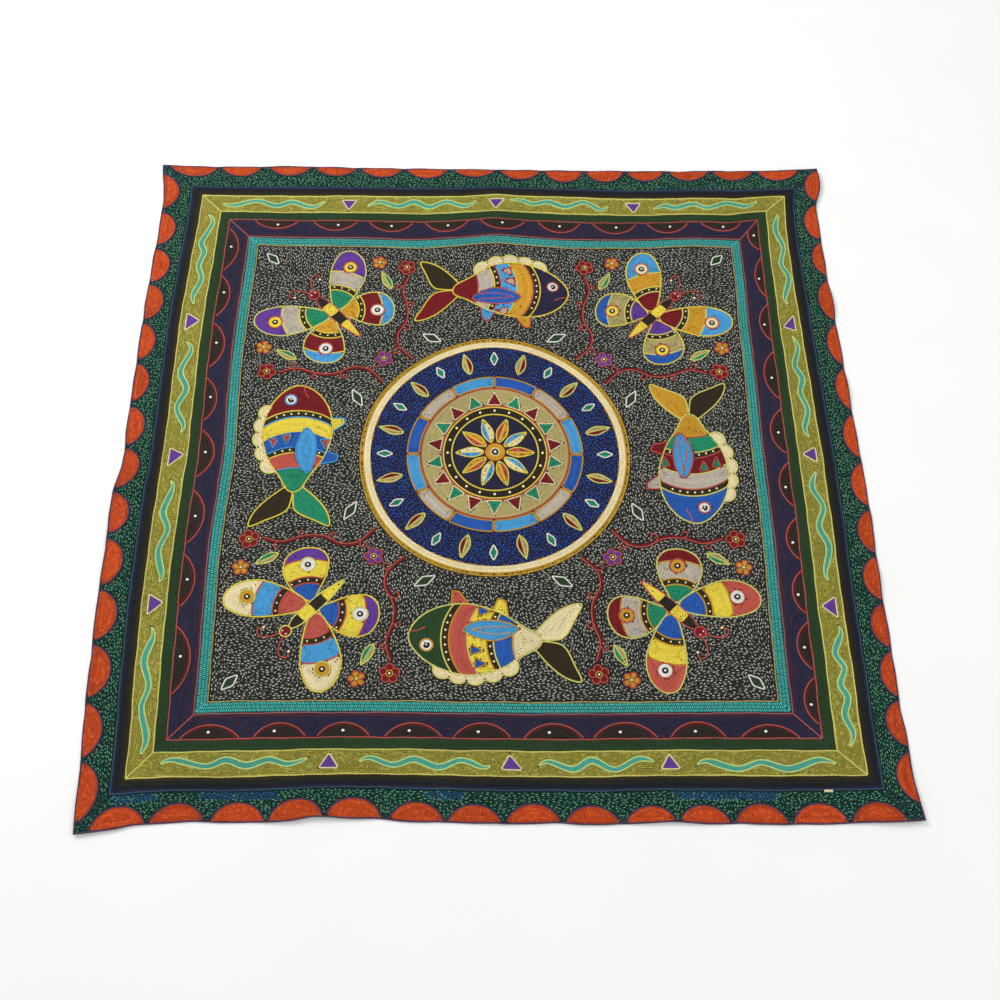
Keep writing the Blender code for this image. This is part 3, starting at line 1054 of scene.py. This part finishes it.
def fish(spot, head, colours, trims):
    """A fish of bright bands, with a scalloped crest, a forked tail and a dotted collar."""
    threads = ["brown black", *colours[:2], "brown black", *colours[2:]]
    body, fin = blob(FISH_BODY), blob(FISH_FIN)
    crest = either(*[disc(12.5, u, v) for u, v in FISH_CREST])
    Shape(spot, (-50, 56, -60, -10), crest, "pale cream", rim="cream")
    for side, thread in [(-1, threads[5]), (1, threads[3])]:
        outlined(spot, [(u, v * side) for u, v in FISH_TAIL], thread, trims[0], 6, blob)
    for belly, thread in zip(FISH_BELLY, threads[1:]):
        outlined(spot, belly, thread, trims[1], 4)
    edges = [200, *FISH_CUTS, -200]
    for k, (front, rear, thread) in enumerate(zip(edges, edges[1:], [head, *threads])):
        part = within(shrunk(body, 1.2), arc_cut(front) if k else body, outside(arc_cut(rear)))
        Shape(spot, FISH_REACH, part, thread, first=2.4)
    for k, cut in enumerate(FISH_CUTS):
        Shape(spot, FISH_REACH, arc_cut(cut), None, rim=trims[k % 2], show=lambda u, v: body(u, v) > 1.5,
              rim_level=0.0)
    for v in (-30, -14, 34):
        bow = ARC - np.sqrt(ARC**2 - v**2)
        tooth = [(12 - bow, v - 8), (12 - bow, v + 8), (-6 - bow, v)]
        outlined(spot, tooth, threads[4], trims[1], rim_width=1.9)
    for place in (sum(FISH_CUTS[:2]) / 2, sum(FISH_CUTS[3:5]) / 2):
        for v in np.arange(-27.0, 28, 9):
            u = place - ARC + np.sqrt(ARC**2 - v**2)
            if fin(np.array(u), np.array(v)) < -2:
                knot(spot, u, v, "pale cream", size=1.7)
    Shape(spot, FISH_REACH, body, None, rim=trims[0])
    outlined(spot, FISH_FIN, "sky" if threads[2] != "sky" else "royal", trims[1], 4, blob)
    for v in (6, 14):
        ray = curve_through([(10, 11), (-12, v + 0.5), (-36, v + 2)])
        thread_line(spot, ray, trims[1], clear=False, width=1.8)
    rounded(spot, *FISH_EYE, 8.4, 10, "white", rim=trims[1])
    rounded(spot, *FISH_EYE, 3.2, 10, "black")
    knot(spot, *FISH_EYE, "white", size=1.3)
    thread_line(spot, curve_through([(81, 6), (72, 7), (62, 12)]), "coral", clear=False)


# A butterfly's right wings and body, its head upwards. Columns: u, v
WING_FORE = [(5, -8), (20, -34), (44, -60), (72, -72), (88, -62), (88, -40), (72, -18), (44, -4), (14, 3)]
WING_HIND = [(6, 5), (32, -1), (58, 6), (72, 24), (68, 46), (52, 61), (34, 60), (20, 44), (11, 24)]
WING_ROOT = (0.0, -4.0)
FORE_EYE, HIND_EYE = (66, -44), (46, 36)
# Distances from the wings' root where the colours change
WING_CUTS = (36.0, 44.0, 68.0)
BUTTERFLY_BODY = [(0, -38), (7, -26), (8.5, 0), (7, 28), (0, 56), (-7, 28), (-8.5, 0), (-7, -26)]
BODY_BANDS = [(-60, -18, "moon"), (-18, 2, "yellow"), (2, 20, "moon"), (20, 70, "yellow")]
FEELER = [(2, -44), (7, -58), (17, -68), (26, -64), (22, -57)]


def wing(spot, points, side, colours, eye, trims):
    """One wing: bands about the root, an eye spot, and an arc of knots."""
    eye_u, eye_v = eye[0] * side, eye[1]
    threads = [colours[0], "brown black", *colours[1:]]
    outline = [(u * side, v) for u, v in points]
    whole = blob(outline)
    reach = box_of(outline, 6)
    edges = [0.0, *WING_CUTS, 200.0]
    for near, far, thread in zip(edges, edges[1:], threads):
        Shape(spot, reach, within(shrunk(whole, 1.2), ring(far, near, *WING_ROOT)), thread, first=2.4)
    for cut in WING_CUTS:
        Shape(spot, reach, disc(cut, *WING_ROOT), None, rim=trims[1], rim_level=0.0,
              show=lambda u, v: whole(u, v) > 1.5)
    Shape(spot, reach, whole, None, rim=trims[0])
    rounded(spot, eye_u, eye_v, 10.5, 14, threads[4], rim=trims[2])
    rounded(spot, eye_u, eye_v, 4.2, 14, "moon")
    knot(spot, eye_u, eye_v, "white", size=1.8)
    toward_eye = np.arctan2(eye_v - WING_ROOT[1], eye_u - WING_ROOT[0])
    for k in range(-2, 3):
        du, dv = polar((WING_CUTS[0] + WING_CUTS[1]) / 2, toward_eye + k * 0.26)
        u, v = WING_ROOT[0] + du, WING_ROOT[1] + dv
        if whole(np.array(u), np.array(v)) > 4:
            knot(spot, u, v, "pale cream", size=1.5)


def butterfly(spot, fore, hind, trims):
    """A butterfly with four banded wings, a striped body and curled feelers."""
    for side in (-1, 1):
        wing(spot, WING_HIND, side, hind, HIND_EYE, trims)
        wing(spot, WING_FORE, side, fore, FORE_EYE, trims)
        feeler = [(u * side, v) for u, v in FEELER]
        thread_line(spot, curve_through(feeler), "coral", width=2.1)
        knot(spot, *feeler[-1], "pale cream", size=2.0)
    body = blob(BUTTERFLY_BODY)
    reach = box_of(BUTTERFLY_BODY, 3)
    for low, high, thread in BODY_BANDS:
        band = within(shrunk(body, 0.8), lambda u, v: v - low, lambda u, v: high - v)
        Shape(spot, reach, band, thread, first=1.6)
    Shape(spot, reach, body, None, rim=trims[2])
    rounded(spot, 0, -42, 8.2, 12, "maroon", rim=trims[2])
    for u in (-3.2, 3.2):
        knot(spot, u, -44, "white", size=1.2)


def flower(spot, u, v, petal, size):
    """Five round petals about a knotted middle."""
    start = chance.uniform(0, 2 * np.pi)
    for k in range(5):
        du, dv = polar(size * 1.25, start + k * 2 * np.pi / 5)
        rounded(spot, u + du, v + dv, size, size + 2, petal, rim="coral", rim_width=2.0, first=3.2)
    rounded(spot, u, v, size * 0.85, 8, "moon", rim="ochre", rim_width=1.9)
    knot(spot, u, v, "white", size=1.7)


def leaf(spot, u, v, degrees, length, near_thread, far_thread, rim):
    """A pointed leaf in two colours, parted along its rib."""
    cosine, sine = polar(1, np.radians(degrees))
    right, down = np.array(spot.right), np.array(spot.down)
    own = Spot(*spot.out(u, v), cosine * right + sine * down, cosine * down - sine * right)
    half = length * 0.2
    near = [(length * 0.25, -half * 0.85), (length * 0.5, -half), (length * 0.78, -half * 0.6)]
    outline = [(0, 0), *near, (length, 0), *((a, -b) for a, b in reversed(near))]
    whole = sharp(curve_through(outline, closed=True, step=2))
    reach = box_of(outline, 3)
    for side, thread in [(1, near_thread), (-1, far_thread)]:
        Shape(own, reach, within(shrunk(whole, 1.0), lambda a, b: side * b), thread, first=1.8)
    Shape(own, reach, lambda a, b: b, None, rim=rim, rim_level=0.0, rim_width=1.8,
          show=lambda a, b: whole(a, b) > 1)
    Shape(own, reach, whole, None, rim=rim, rim_width=2.0)


def lozenge(spot, u, v, degrees, length, width, thread="dark green"):
    cosine, sine = polar(1, np.radians(degrees))
    corners = [(length / 2, 0), (0, width / 2), (-length / 2, 0), (0, -width / 2)]
    around = [(u + a * cosine - b * sine, v + a * sine + b * cosine) for a, b in corners]
    outlined(spot, around, thread, "white", 3)


def vine(spot, points, curls):
    """A double row of coral stitches, with curls that branch from it."""
    line = curve_through(points)
    way = np.gradient(line, axis=0)
    way /= np.hypot(*way.T)[:, None]
    normal = np.column_stack([-way[:, 1], way[:, 0]])
    thread_line(spot, line + normal * 1.5, "coral", width=2.1)
    thread_line(spot, line - normal * 1.5, "maroon", width=2.1, height=1.1)
    for place, side, size in curls:
        k = int(place * (len(line) - 1))
        t = np.linspace(0, 1, 16)[:, None]
        heading = np.arctan2(way[k, 1], way[k, 0]) + side * t * 5.2
        steps = np.concatenate([np.cos(heading), np.sin(heading)], axis=1) * (size * (1 - 0.62 * t)) * 0.36
        thread_line(spot, line[k] + np.cumsum(steps, axis=0), "coral", width=2.0)


# The medallion: how many of each there are, the outer and inner radius of each ring, and other radii
ARCS, TEETH, DOTS, PETALS, LEAVES = 12, 18, 20, 10, 12
ARC_RING, TOOTH_RING, DOT_RING = (131, 111), (110.5, 78), (77.5, 63)
PETAL_FIELD, HEART, HEART_DOT = 62.5, 17, 7.5
PETAL_START, LEAF_START, LOZENGE_PLACE = 15, 139, 163


def medallion(spot):
    """The round field in the middle: a rosette of petals, dotted ring, teeth and arcs."""
    def circle(field, half, thread, rim=None, **more):
        Shape(spot, (-half, half) * 2, field, thread, rim=rim, rows="medallion_rows", **more)

    whole = DISC_RADIUS + 20
    parting = DISC_RADIUS + 9.5
    circle(ring(DISC_RADIUS + DISC_RIM, parting), whole, "olive mix", "ochre")
    circle(ring(parting, DISC_RADIUS), whole, "pale cream")
    circle(disc(DISC_RADIUS), whole, None, "ochre", rim_level=0.0)
    for k in range(ARCS):
        def sector(u, v):
            angle = (np.arctan2(v, u) - (k + 0.5) * 2 * np.pi / ARCS + np.pi) % (2 * np.pi) - np.pi
            return (np.pi / ARCS - np.abs(angle)) * np.hypot(u, v) * 0.98

        thread = ("royal", "grey beige", "sky")[k % 3]
        circle(within(ring(*ARC_RING), sector), 133, thread, "ochre", rim_width=2.0)
    circle(ring(*TOOTH_RING), 112, "khaki", "coral")
    half = np.pi / TEETH * 0.94
    for k in range(TEETH):
        angle = (k + 0.5) * 2 * np.pi / TEETH
        tooth = [polar(80.5, angle - half), polar(80.5, angle + half), polar(106, angle)]
        thread = "maroon" if k % 2 else "emerald"
        outlined(spot, tooth, thread, "pale cream", 3, rows="medallion_rows", rim_width=1.9)
    circle(ring(*DOT_RING), 80, "moon", "yellow")
    for k in range(DOTS):
        knot(spot, *polar(70.2, k * 2 * np.pi / DOTS), "pale cream", size=2.1)
    circle(disc(PETAL_FIELD), 64, "navy")
    for k in range(PETALS):
        degrees = k * 360 / PETALS
        threads = ("ochre", "pale cream")[k % 2], ("coral", "sky")[k % 2], "yellow"
        leaf(spot, *polar(PETAL_START, np.radians(degrees)), degrees, 45, *threads)
    circle(disc(HEART), 20, "ochre", "maroon")
    circle(disc(HEART_DOT), 10, "moon", "pale cream", rim_width=1.9)
    knot(spot, 0, 0, "white", size=2.2)
    for k in range(LEAVES):
        degrees = (k + 0.5) * 360 / LEAVES
        leaf(spot, *polar(LEAF_START, np.radians(degrees)), degrees, 40, "maroon", "khaki", "cream")
    for k in range(LEAVES):
        degrees = k * 360 / LEAVES
        lozenge(spot, *polar(LOZENGE_PLACE, np.radians(degrees)), degrees, 30, 14, "emerald")


# Threads of the four fish. Columns: head, bands besides the dark ones, outlines
FISH_SETS = [
    ("navy", ["ochre", "sky", "grey beige", "maroon"], ("yellow", "coral")),
    ("royal", ["grey beige", "maroon", "emerald", "ochre"], ("cream", "coral")),
    ("dark green", ["coral", "yellow", "royal", "pale cream"], ("cream", "ochre")),
    ("maroon", ["yellow", "royal", "coral", "emerald"], ("yellow", "sky")),
]
# Threads of the four butterflies. Columns: fore wings and hind wings, besides their dark band, and outlines
WING_SETS = [
    (["maroon", "ochre", "sky", "pale cream"], ["purple", "khaki", "royal", "yellow"],
     ("yellow", "cream", "coral")),
    (["royal", "yellow", "coral", "white"], ["emerald", "grey beige", "maroon", "ochre"],
     ("cream", "ochre", "coral")),
    (["coral", "sky", "pale cream", "ochre"], ["royal", "yellow", "purple", "white"],
     ("yellow", "coral", "cream")),
    (["emerald", "grey beige", "purple", "yellow"], ["ochre", "maroon", "sky", "white"],
     ("cream", "yellow", "coral")),
]
# Places in each quarter of the panel, from its middle: u, v. Those of a side are mirrored to the other
FISH_PLACE, FISH_SCALE = (18, -294), 1.2
BUTTERFLY_PLACE, BUTTERFLY_SCALE = (250, -250), 1.15
# Columns: u, v, petals, size
SIDE_FLOWERS = [(142, -344, "maroon", 6.8), (186, -352, "ochre", 5.8)]
MIDDLE_FLOWER = (168, -168, "purple", 6.6)
SIDE_LEAF, SIDE_LEAF_TURN, SIDE_LEAF_LENGTH = (164, -300), 28, 38
# Columns: u, v, degrees, length, width
SIDE_LOZENGE = (96, -206, -28, 40, 17)
CORNER_LOZENGE = (356, -356, -45, 36, 17)
# One side's vine, from the panel's middle outwards, and its curls: place along it, side, size
VINE = [(124, 168), (146, 190), (150, 214), (138, 240), (138, 268), (147, 298), (140, 326)]
CURLS = [(0.16, 1, 7), (0.42, -1, 7), (0.66, -1, 6), (0.86, 1, 6)]


def make_panel():
    medallion(turned(MIDDLE, MIDDLE, 0))
    for k in range(4):
        quarter = turned(MIDDLE, MIDDLE, 90 * k)
        x, y = quarter.out(*(place + chance.uniform(-3, 3) for place in FISH_PLACE))
        fish(turned(x, y, 90 * k + chance.uniform(-2, 2), FISH_SCALE), *FISH_SETS[k])
        x, y = quarter.out(*(place + chance.uniform(-2, 2) for place in BUTTERFLY_PLACE))
        butterfly(turned(x, y, 90 * k + 45, BUTTERFLY_SCALE), *WING_SETS[k])
        for side in (-1, 1):
            stem = [(u * side, -v) for u, v in VINE]
            vine(quarter, stem, [(place, side * turn, size) for place, turn, size in CURLS])
            for u, v, petal, size in SIDE_FLOWERS:
                flower(quarter, u * side, v, petal, size)
            u, v = SIDE_LEAF
            leaf(quarter, u * side, v, -90 + SIDE_LEAF_TURN * side, SIDE_LEAF_LENGTH, "emerald", "khaki",
                 "cream")
            u, v, degrees, length, width = SIDE_LOZENGE
            lozenge(quarter, u * side, v, degrees * side, length, width)
        lozenge(quarter, *CORNER_LOZENGE)
        flower(quarter, *MIDDLE_FLOWER)


def make_knots():
    """Dots of wound thread, each a low dome with a sunk middle."""
    # Columns: reach, height, lightness (painted shade at the rim and in the sunk middle)
    rings = [(1.0, 0.0, 0.1), (0.82, 0.75, 0.6), (0.45, 1.0, 1.0)]
    top = len(rings) * KNOT_SIDES
    x, y, half_length, half_width, thread = np.array(KNOTS).T[:, :, None]
    reach, up, light = np.vstack([np.repeat(rings, KNOT_SIDES, axis=0), (0.0, 0.72, 0.45)]).T
    turn = np.append(np.tile(np.arange(KNOT_SIDES) * 2 * np.pi / KNOT_SIDES, len(rings)), 0.0)
    px = x + half_length * reach * np.cos(turn)
    py = y + half_width * reach * np.sin(turn)
    faces = []
    for a in range(top):
        b = a - a % KNOT_SIDES + (a + 1) % KNOT_SIDES
        if a < top - KNOT_SIDES:
            faces += [(a, a + KNOT_SIDES, b), (b, a + KNOT_SIDES, b + KNOT_SIDES)]
        else:
            faces.append((a, top, b))
    places = to_model(px, py, CLOTH_TOP + KNOT_LIFT + KNOT_HEIGHT * up + pucker(px, py))
    return stitched_object("knots", places, np.array(faces), thread, TONES - 2, 1.1, light,
                           turn / (2 * np.pi))


# The ground cloth and the tab

def grid_faces(rows, columns):
    """The squares of a grid of points, row by row."""
    row, column = np.divmod(np.arange((rows - 1) * (columns - 1)), columns - 1)
    a = row * columns + column
    return np.stack([a, a + columns, a + columns + 1, a + 1], axis=1)


def under_fillings(x, y, colours):
    """The cloth takes a filling's thread colour, darkened as painted shade between the rows, where it lies
    well inside that filling.
    """
    column, row = np.round([x, y]).astype(int)
    numbers = np.array([DRAWN[np.clip(row + down, 1, LAST - 1), np.clip(column + across, 1, LAST - 1)]
                        for across, down in [(0, 0), (-7, 0), (7, 0), (0, -7), (0, 7)]])
    inside = (numbers[0] > 1) & (numbers == numbers[0]).all(axis=0)
    fill = np.zeros((len(shapes) + 2, 3))
    for shape in shapes:
        if shape.thread:
            name = MIXES[shape.thread][0][0] if shape.thread in MIXES else shape.thread
            # The thread's own colour, darkened by UNDER_SHADE as painted shade between the rows
            fill[shape.number] = linear(THREADS[name]) * UNDER_SHADE
    return np.where(inside[:, None], fill[numbers[0]], colours)


def make_ground():
    """The black cotton: its face, its back with the hem turned under, and the fold all round."""
    near = np.array([*HEM_LINES, *OLIVE_GROUND])
    lines = np.sort(np.concatenate([near, np.linspace(20, SIDE - 20, GROUND_STEPS), SIDE - near]))
    count, last = len(lines), len(lines) - 1
    x, y = (grid.ravel() for grid in np.meshgrid(lines, lines))
    depth, radius = depth_at(x, y), np.hypot(x - MIDDLE, y - MIDDLE)
    face = to_model(x, y, CLOTH_TOP + pucker(x, y))
    back = to_model(x, y, np.where(depth <= HEM_WIDTH + 0.1, BACK_GAP, BACK_GAP + HEM_THICK))
    step = np.arange(last)
    around = np.concatenate([step, step * count + last, count * count - 1 - step, (last - step) * count])
    edge = [np.where(at < 1, 0, np.where(at > SIDE - 1, SIDE, at)) for at in (x[around], y[around])]
    rim = to_model(*edge, np.full(len(around), (CLOTH_TOP + BACK_GAP) / 2))
    top = grid_faces(count, count)
    under = around + count * count
    middle = 2 * count * count + np.arange(len(around))
    upper = np.stack([around, np.roll(around, -1), np.roll(middle, -1), middle], axis=1)
    lower = np.stack([middle, np.roll(middle, -1), np.roll(under, -1), under], axis=1)
    faces = np.concatenate([top, top[:, ::-1] + count * count, upper, lower])
    colours = np.tile(linear(GROUND_COLOURS["black"]), (len(x), 1))
    colours[radius < DISC_RADIUS + DISC_RIM / 2] = linear(GROUND_COLOURS["navy"])
    colours[depth < GREEN_GROUND_END] = linear(GROUND_COLOURS["green"])
    colours[in_blue_stretch(x, y)] = linear(GROUND_COLOURS["blue"])
    colours = under_fillings(x, y, colours)
    # Painted shade: the cloth under the olive band is the olive thread's colour, darkened as between rows
    olive = (depth > OLIVE_GROUND[0] + 0.1) & (depth < OLIVE_GROUND[-1] - 0.1)
    colours[olive] = linear(THREADS["olive"]) * UNDER_SHADE
    back_colours = np.tile(linear(GROUND_COLOURS["back"]), (len(x), 1))
    flat = np.column_stack([x, y]) / SIDE * 0.48
    uv = np.concatenate([flat + [0.01, 0.01], flat + [0.51, 0.01], flat[around] + [0.01, 0.51]])
    return dyed_object("ground_cloth", np.concatenate([face, back, rim]), faces,
                       np.concatenate([colours, back_colours, colours[around]]), uv)


def make_hem_stitches():
    for spot in SIDES.values():
        along = np.arange(12, SIDE - 12, HEM_PITCH)
        along = along + chance.uniform(-0.6, 0.6, len(along))
        side_stitches(spot, "hem_stitches", "black", along, HEM_WIDTH - 2.2, along + HEM_STITCH,
                      HEM_WIDTH - 2.0, 0.9, 0.11)


def make_tab():
    """A scrap of tape folded over itself, with its ends held down."""
    low, high = (np.array(corner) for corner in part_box("tab"))
    middle, size = (low + high) / 2, high - low
    bottom = low[2] - TAB_SINK * MM
    along, across = np.meshgrid(np.linspace(-1, 1, 19), np.linspace(-1, 1, 9), indexing="ij")
    crown = 1 - 0.35 * across**4 - 0.25 * along**8
    sag = 0.12 * np.sin(along * 5 + 1) * np.cos(across * 2)
    x = middle[0] + along * size[0] / 2
    y = middle[1] + across * size[1] / 2 * (1 - 0.05 * np.sin(along * 7))
    z = bottom + (high[2] - bottom) * (crown + sag * 0.3)
    made = new_object("tape_tab", np.stack([x, y, z], axis=-1).reshape(-1, 3), grid_faces(*x.shape))
    thick = made.modifiers.new("layers", "SOLIDIFY")
    thick.thickness = TAB_THICK * MM
    thick.offset = -1.0
    return made


# Materials

class Finish:
    """A material in the making: its nodes and its shader."""

    def __init__(self, name):
        self.material = bpy.data.materials.new(name)
        self.material.use_nodes = True
        self.nodes = self.material.node_tree.nodes
        self.shader = self.nodes["Principled BSDF"]

    def give(self, node, inputs):
        """Sets a node's inputs, each to a value or to another node's output."""
        for name, value in inputs.items():
            if isinstance(value, bpy.types.NodeSocket):
                self.material.node_tree.links.new(value, node.inputs[name])
            else:
                node.inputs[name].default_value = value

    def node(self, kind, inputs=(), **settings):
        made = self.nodes.new("ShaderNode" + kind)
        for name, value in settings.items():
            setattr(made, name, value)
        self.give(made, dict(inputs))
        return made

    def dye(self):
        """The thread's own colour."""
        return self.node("VertexColor", layer_name="thread").outputs["Color"]

    def noise(self, scale, detail=2.0):
        """A noise fixed to the object."""
        places = self.node("TexCoord").outputs["Object"]
        return self.node("TexNoise", {"Scale": scale, "Detail": detail, "Vector": places}).outputs["Fac"]

    def ridges(self, way, scale, distortion=0.0):
        """Fine ridges fixed to the object."""
        places = self.node("TexCoord").outputs["Object"]
        inputs = {"Scale": scale, "Distortion": distortion, "Vector": places}
        return self.node("TexWave", inputs, bands_direction=way).outputs["Fac"]

    def ranged(self, source, low, high):
        return self.node("MapRange", {"Value": source, "To Min": low, "To Max": high}).outputs["Result"]

    def bump(self, source, strength, distance):
        inputs = {"Height": source, "Strength": strength, "Distance": distance}
        return self.node("Bump", inputs).outputs["Normal"]

    def ramp(self, source, *colours):
        ramp = self.node("ValToRGB", {"Fac": source})
        for element, colour in zip(ramp.color_ramp.elements, colours):
            element.color = (*colour, 1)
        return ramp.outputs["Color"]


def cotton_thread():
    made = Finish("cotton_thread")
    fibre = made.noise(1600)
    made.give(made.shader, {
        "Base Color": made.dye(), "Roughness": made.ranged(fibre, 0.62, 0.88),
        "Normal": made.bump(fibre, 0.3, 0.0003), "Specular IOR Level": 0.14,
        "Sheen Weight": 0.03, "Sheen Roughness": 0.45,
    })
    return made.material


def ground_cotton():
    """Plain-woven cotton: two crossed sets of fine ridges, with a slightly uneven dye."""
    made = Finish("ground_cotton")
    weave = made.node("Math", operation="MULTIPLY")
    made.give(weave, {0: made.ridges("X", 420, 0.6), 1: made.ridges("Y", 420, 0.6)})
    patches = made.noise(24, 4.0)
    tint = made.node("Mix", data_type="RGBA", blend_type="MULTIPLY")
    made.give(tint, {"Factor": 1.0, "A": made.dye(), "B": made.ranged(patches, 0.75, 1.35)})
    made.give(made.shader, {
        "Base Color": tint.outputs["Result"], "Roughness": made.ranged(patches, 0.82, 0.96),
        "Normal": made.bump(weave.outputs["Value"], 0.4, 0.0004), "Specular IOR Level": 0.12,
        "Sheen Weight": 0.02,
    })
    return made.material


def tape_cotton():
    """Pale tape with a fine diagonal twill and patchy soiling."""
    made = Finish("tape_cotton")
    soil = made.noise(320, 4.0)
    made.give(made.shader, {
        "Base Color": made.ramp(soil, linear((196, 168, 128)), linear((232, 214, 184))),
        "Roughness": made.ranged(soil, 0.7, 0.9), "Specular IOR Level": 0.3,
        "Normal": made.bump(made.ridges("DIAGONAL", 700), 0.5, 0.0002),
    })
    return made.material


def floor_material():
    made = Finish("pale_floor")
    grain = made.ramp(made.noise(6, 3.0), (0.86, 0.86, 0.85), (0.90, 0.90, 0.89))
    made.give(made.shader, {"Base Color": grain, "Roughness": 0.9})
    return made.material


# The studio

# Columns: place, size, power
LIGHTS = [((-1.6, 1.5, 1.9), 1.2, 46), ((1.9, -0.6, 2.2), 1.6, 14)]
ROOM_LIGHT = 0.72
FLOOR_SIZE, FLOOR_DROP = 14, 0.3 * MM
# The eye, from the middle of the nominal square on the cloth's face, in metres, and how it is turned
EYE = (-0.0562, -0.899, 1.6325)
EYE_TURN = (26.731, -1.5, -1.015)
FACE_HEIGHT = 0.0025
LENS = 45.14
SENSOR = 36.0


def make_stage():
    bpy.ops.mesh.primitive_plane_add(size=FLOOR_SIZE, location=(0, 0, -FLOOR_DROP))
    floor = bpy.context.object
    floor.name = "studio_floor"
    floor.data.materials.append(floor_material())
    world = bpy.data.worlds.new("soft_room")
    bpy.context.scene.world = world
    world.use_nodes = True
    inputs = world.node_tree.nodes["Background"].inputs
    inputs["Color"].default_value = (1.0, 1.0, 1.0, 1.0)
    inputs["Strength"].default_value = ROOM_LIGHT
    for number, (place, size, power) in enumerate(LIGHTS):
        light = bpy.data.lights.new(f"soft_light_{number}", "AREA")
        light.size = size
        light.energy = power
        holder = bpy.data.objects.new(light.name, light)
        holder.location = place
        x, y, z = -np.array(place)
        holder.rotation_euler = (np.arctan2(np.hypot(x, y), -z), 0, np.arctan2(y, x) - np.pi / 2)
        bpy.context.scene.collection.objects.link(holder)
    bpy.context.scene.view_settings.view_transform = "Standard"


def make_camera():
    camera = bpy.data.objects.new("camera", bpy.data.cameras.new("camera"))
    camera.data.lens = LENS
    camera.data.sensor_width = SENSOR
    x, y = MIDDLE - ORIGIN[0], ORIGIN[1] - MIDDLE
    camera.location = (x * MM + EYE[0], y * MM + EYE[1], EYE[2] + FACE_HEIGHT)
    camera.rotation_euler = np.radians(EYE_TURN)
    bpy.context.scene.collection.objects.link(camera)
    bpy.context.scene.camera = camera


def main():
    make_camera()
    border, panel = (slice(int(depth), int(SIDE - depth) + 1) for depth in (GREEN_END, OCHRE_LINE + 1))
    DRAWN[border, border] = 1
    DRAWN[panel, panel] = 0
    make_scallops()
    make_olive_band()
    make_navy_band()
    make_plain_bands()
    make_teal_band()
    make_panel()
    for shape in shapes:
        shape.sew()
    for shape in shapes:
        if shape.thread:
            shape.fill_holes()
    make_seeds()
    make_hem_stitches()

    thread = cotton_thread()
    stitched = [work.build() for work in WORK.values()] + [make_knots()]
    for piece in stitched:
        piece.data.materials.append(thread)
    ground = make_ground()
    ground.data.materials.append(ground_cotton())
    for piece in [ground, *stitched]:
        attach(piece, "root")
    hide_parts("cloth")
    tab = make_tab()
    tab.data.materials.append(tape_cotton())
    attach(tab, "root")
    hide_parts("tab")
    make_stage()


main()
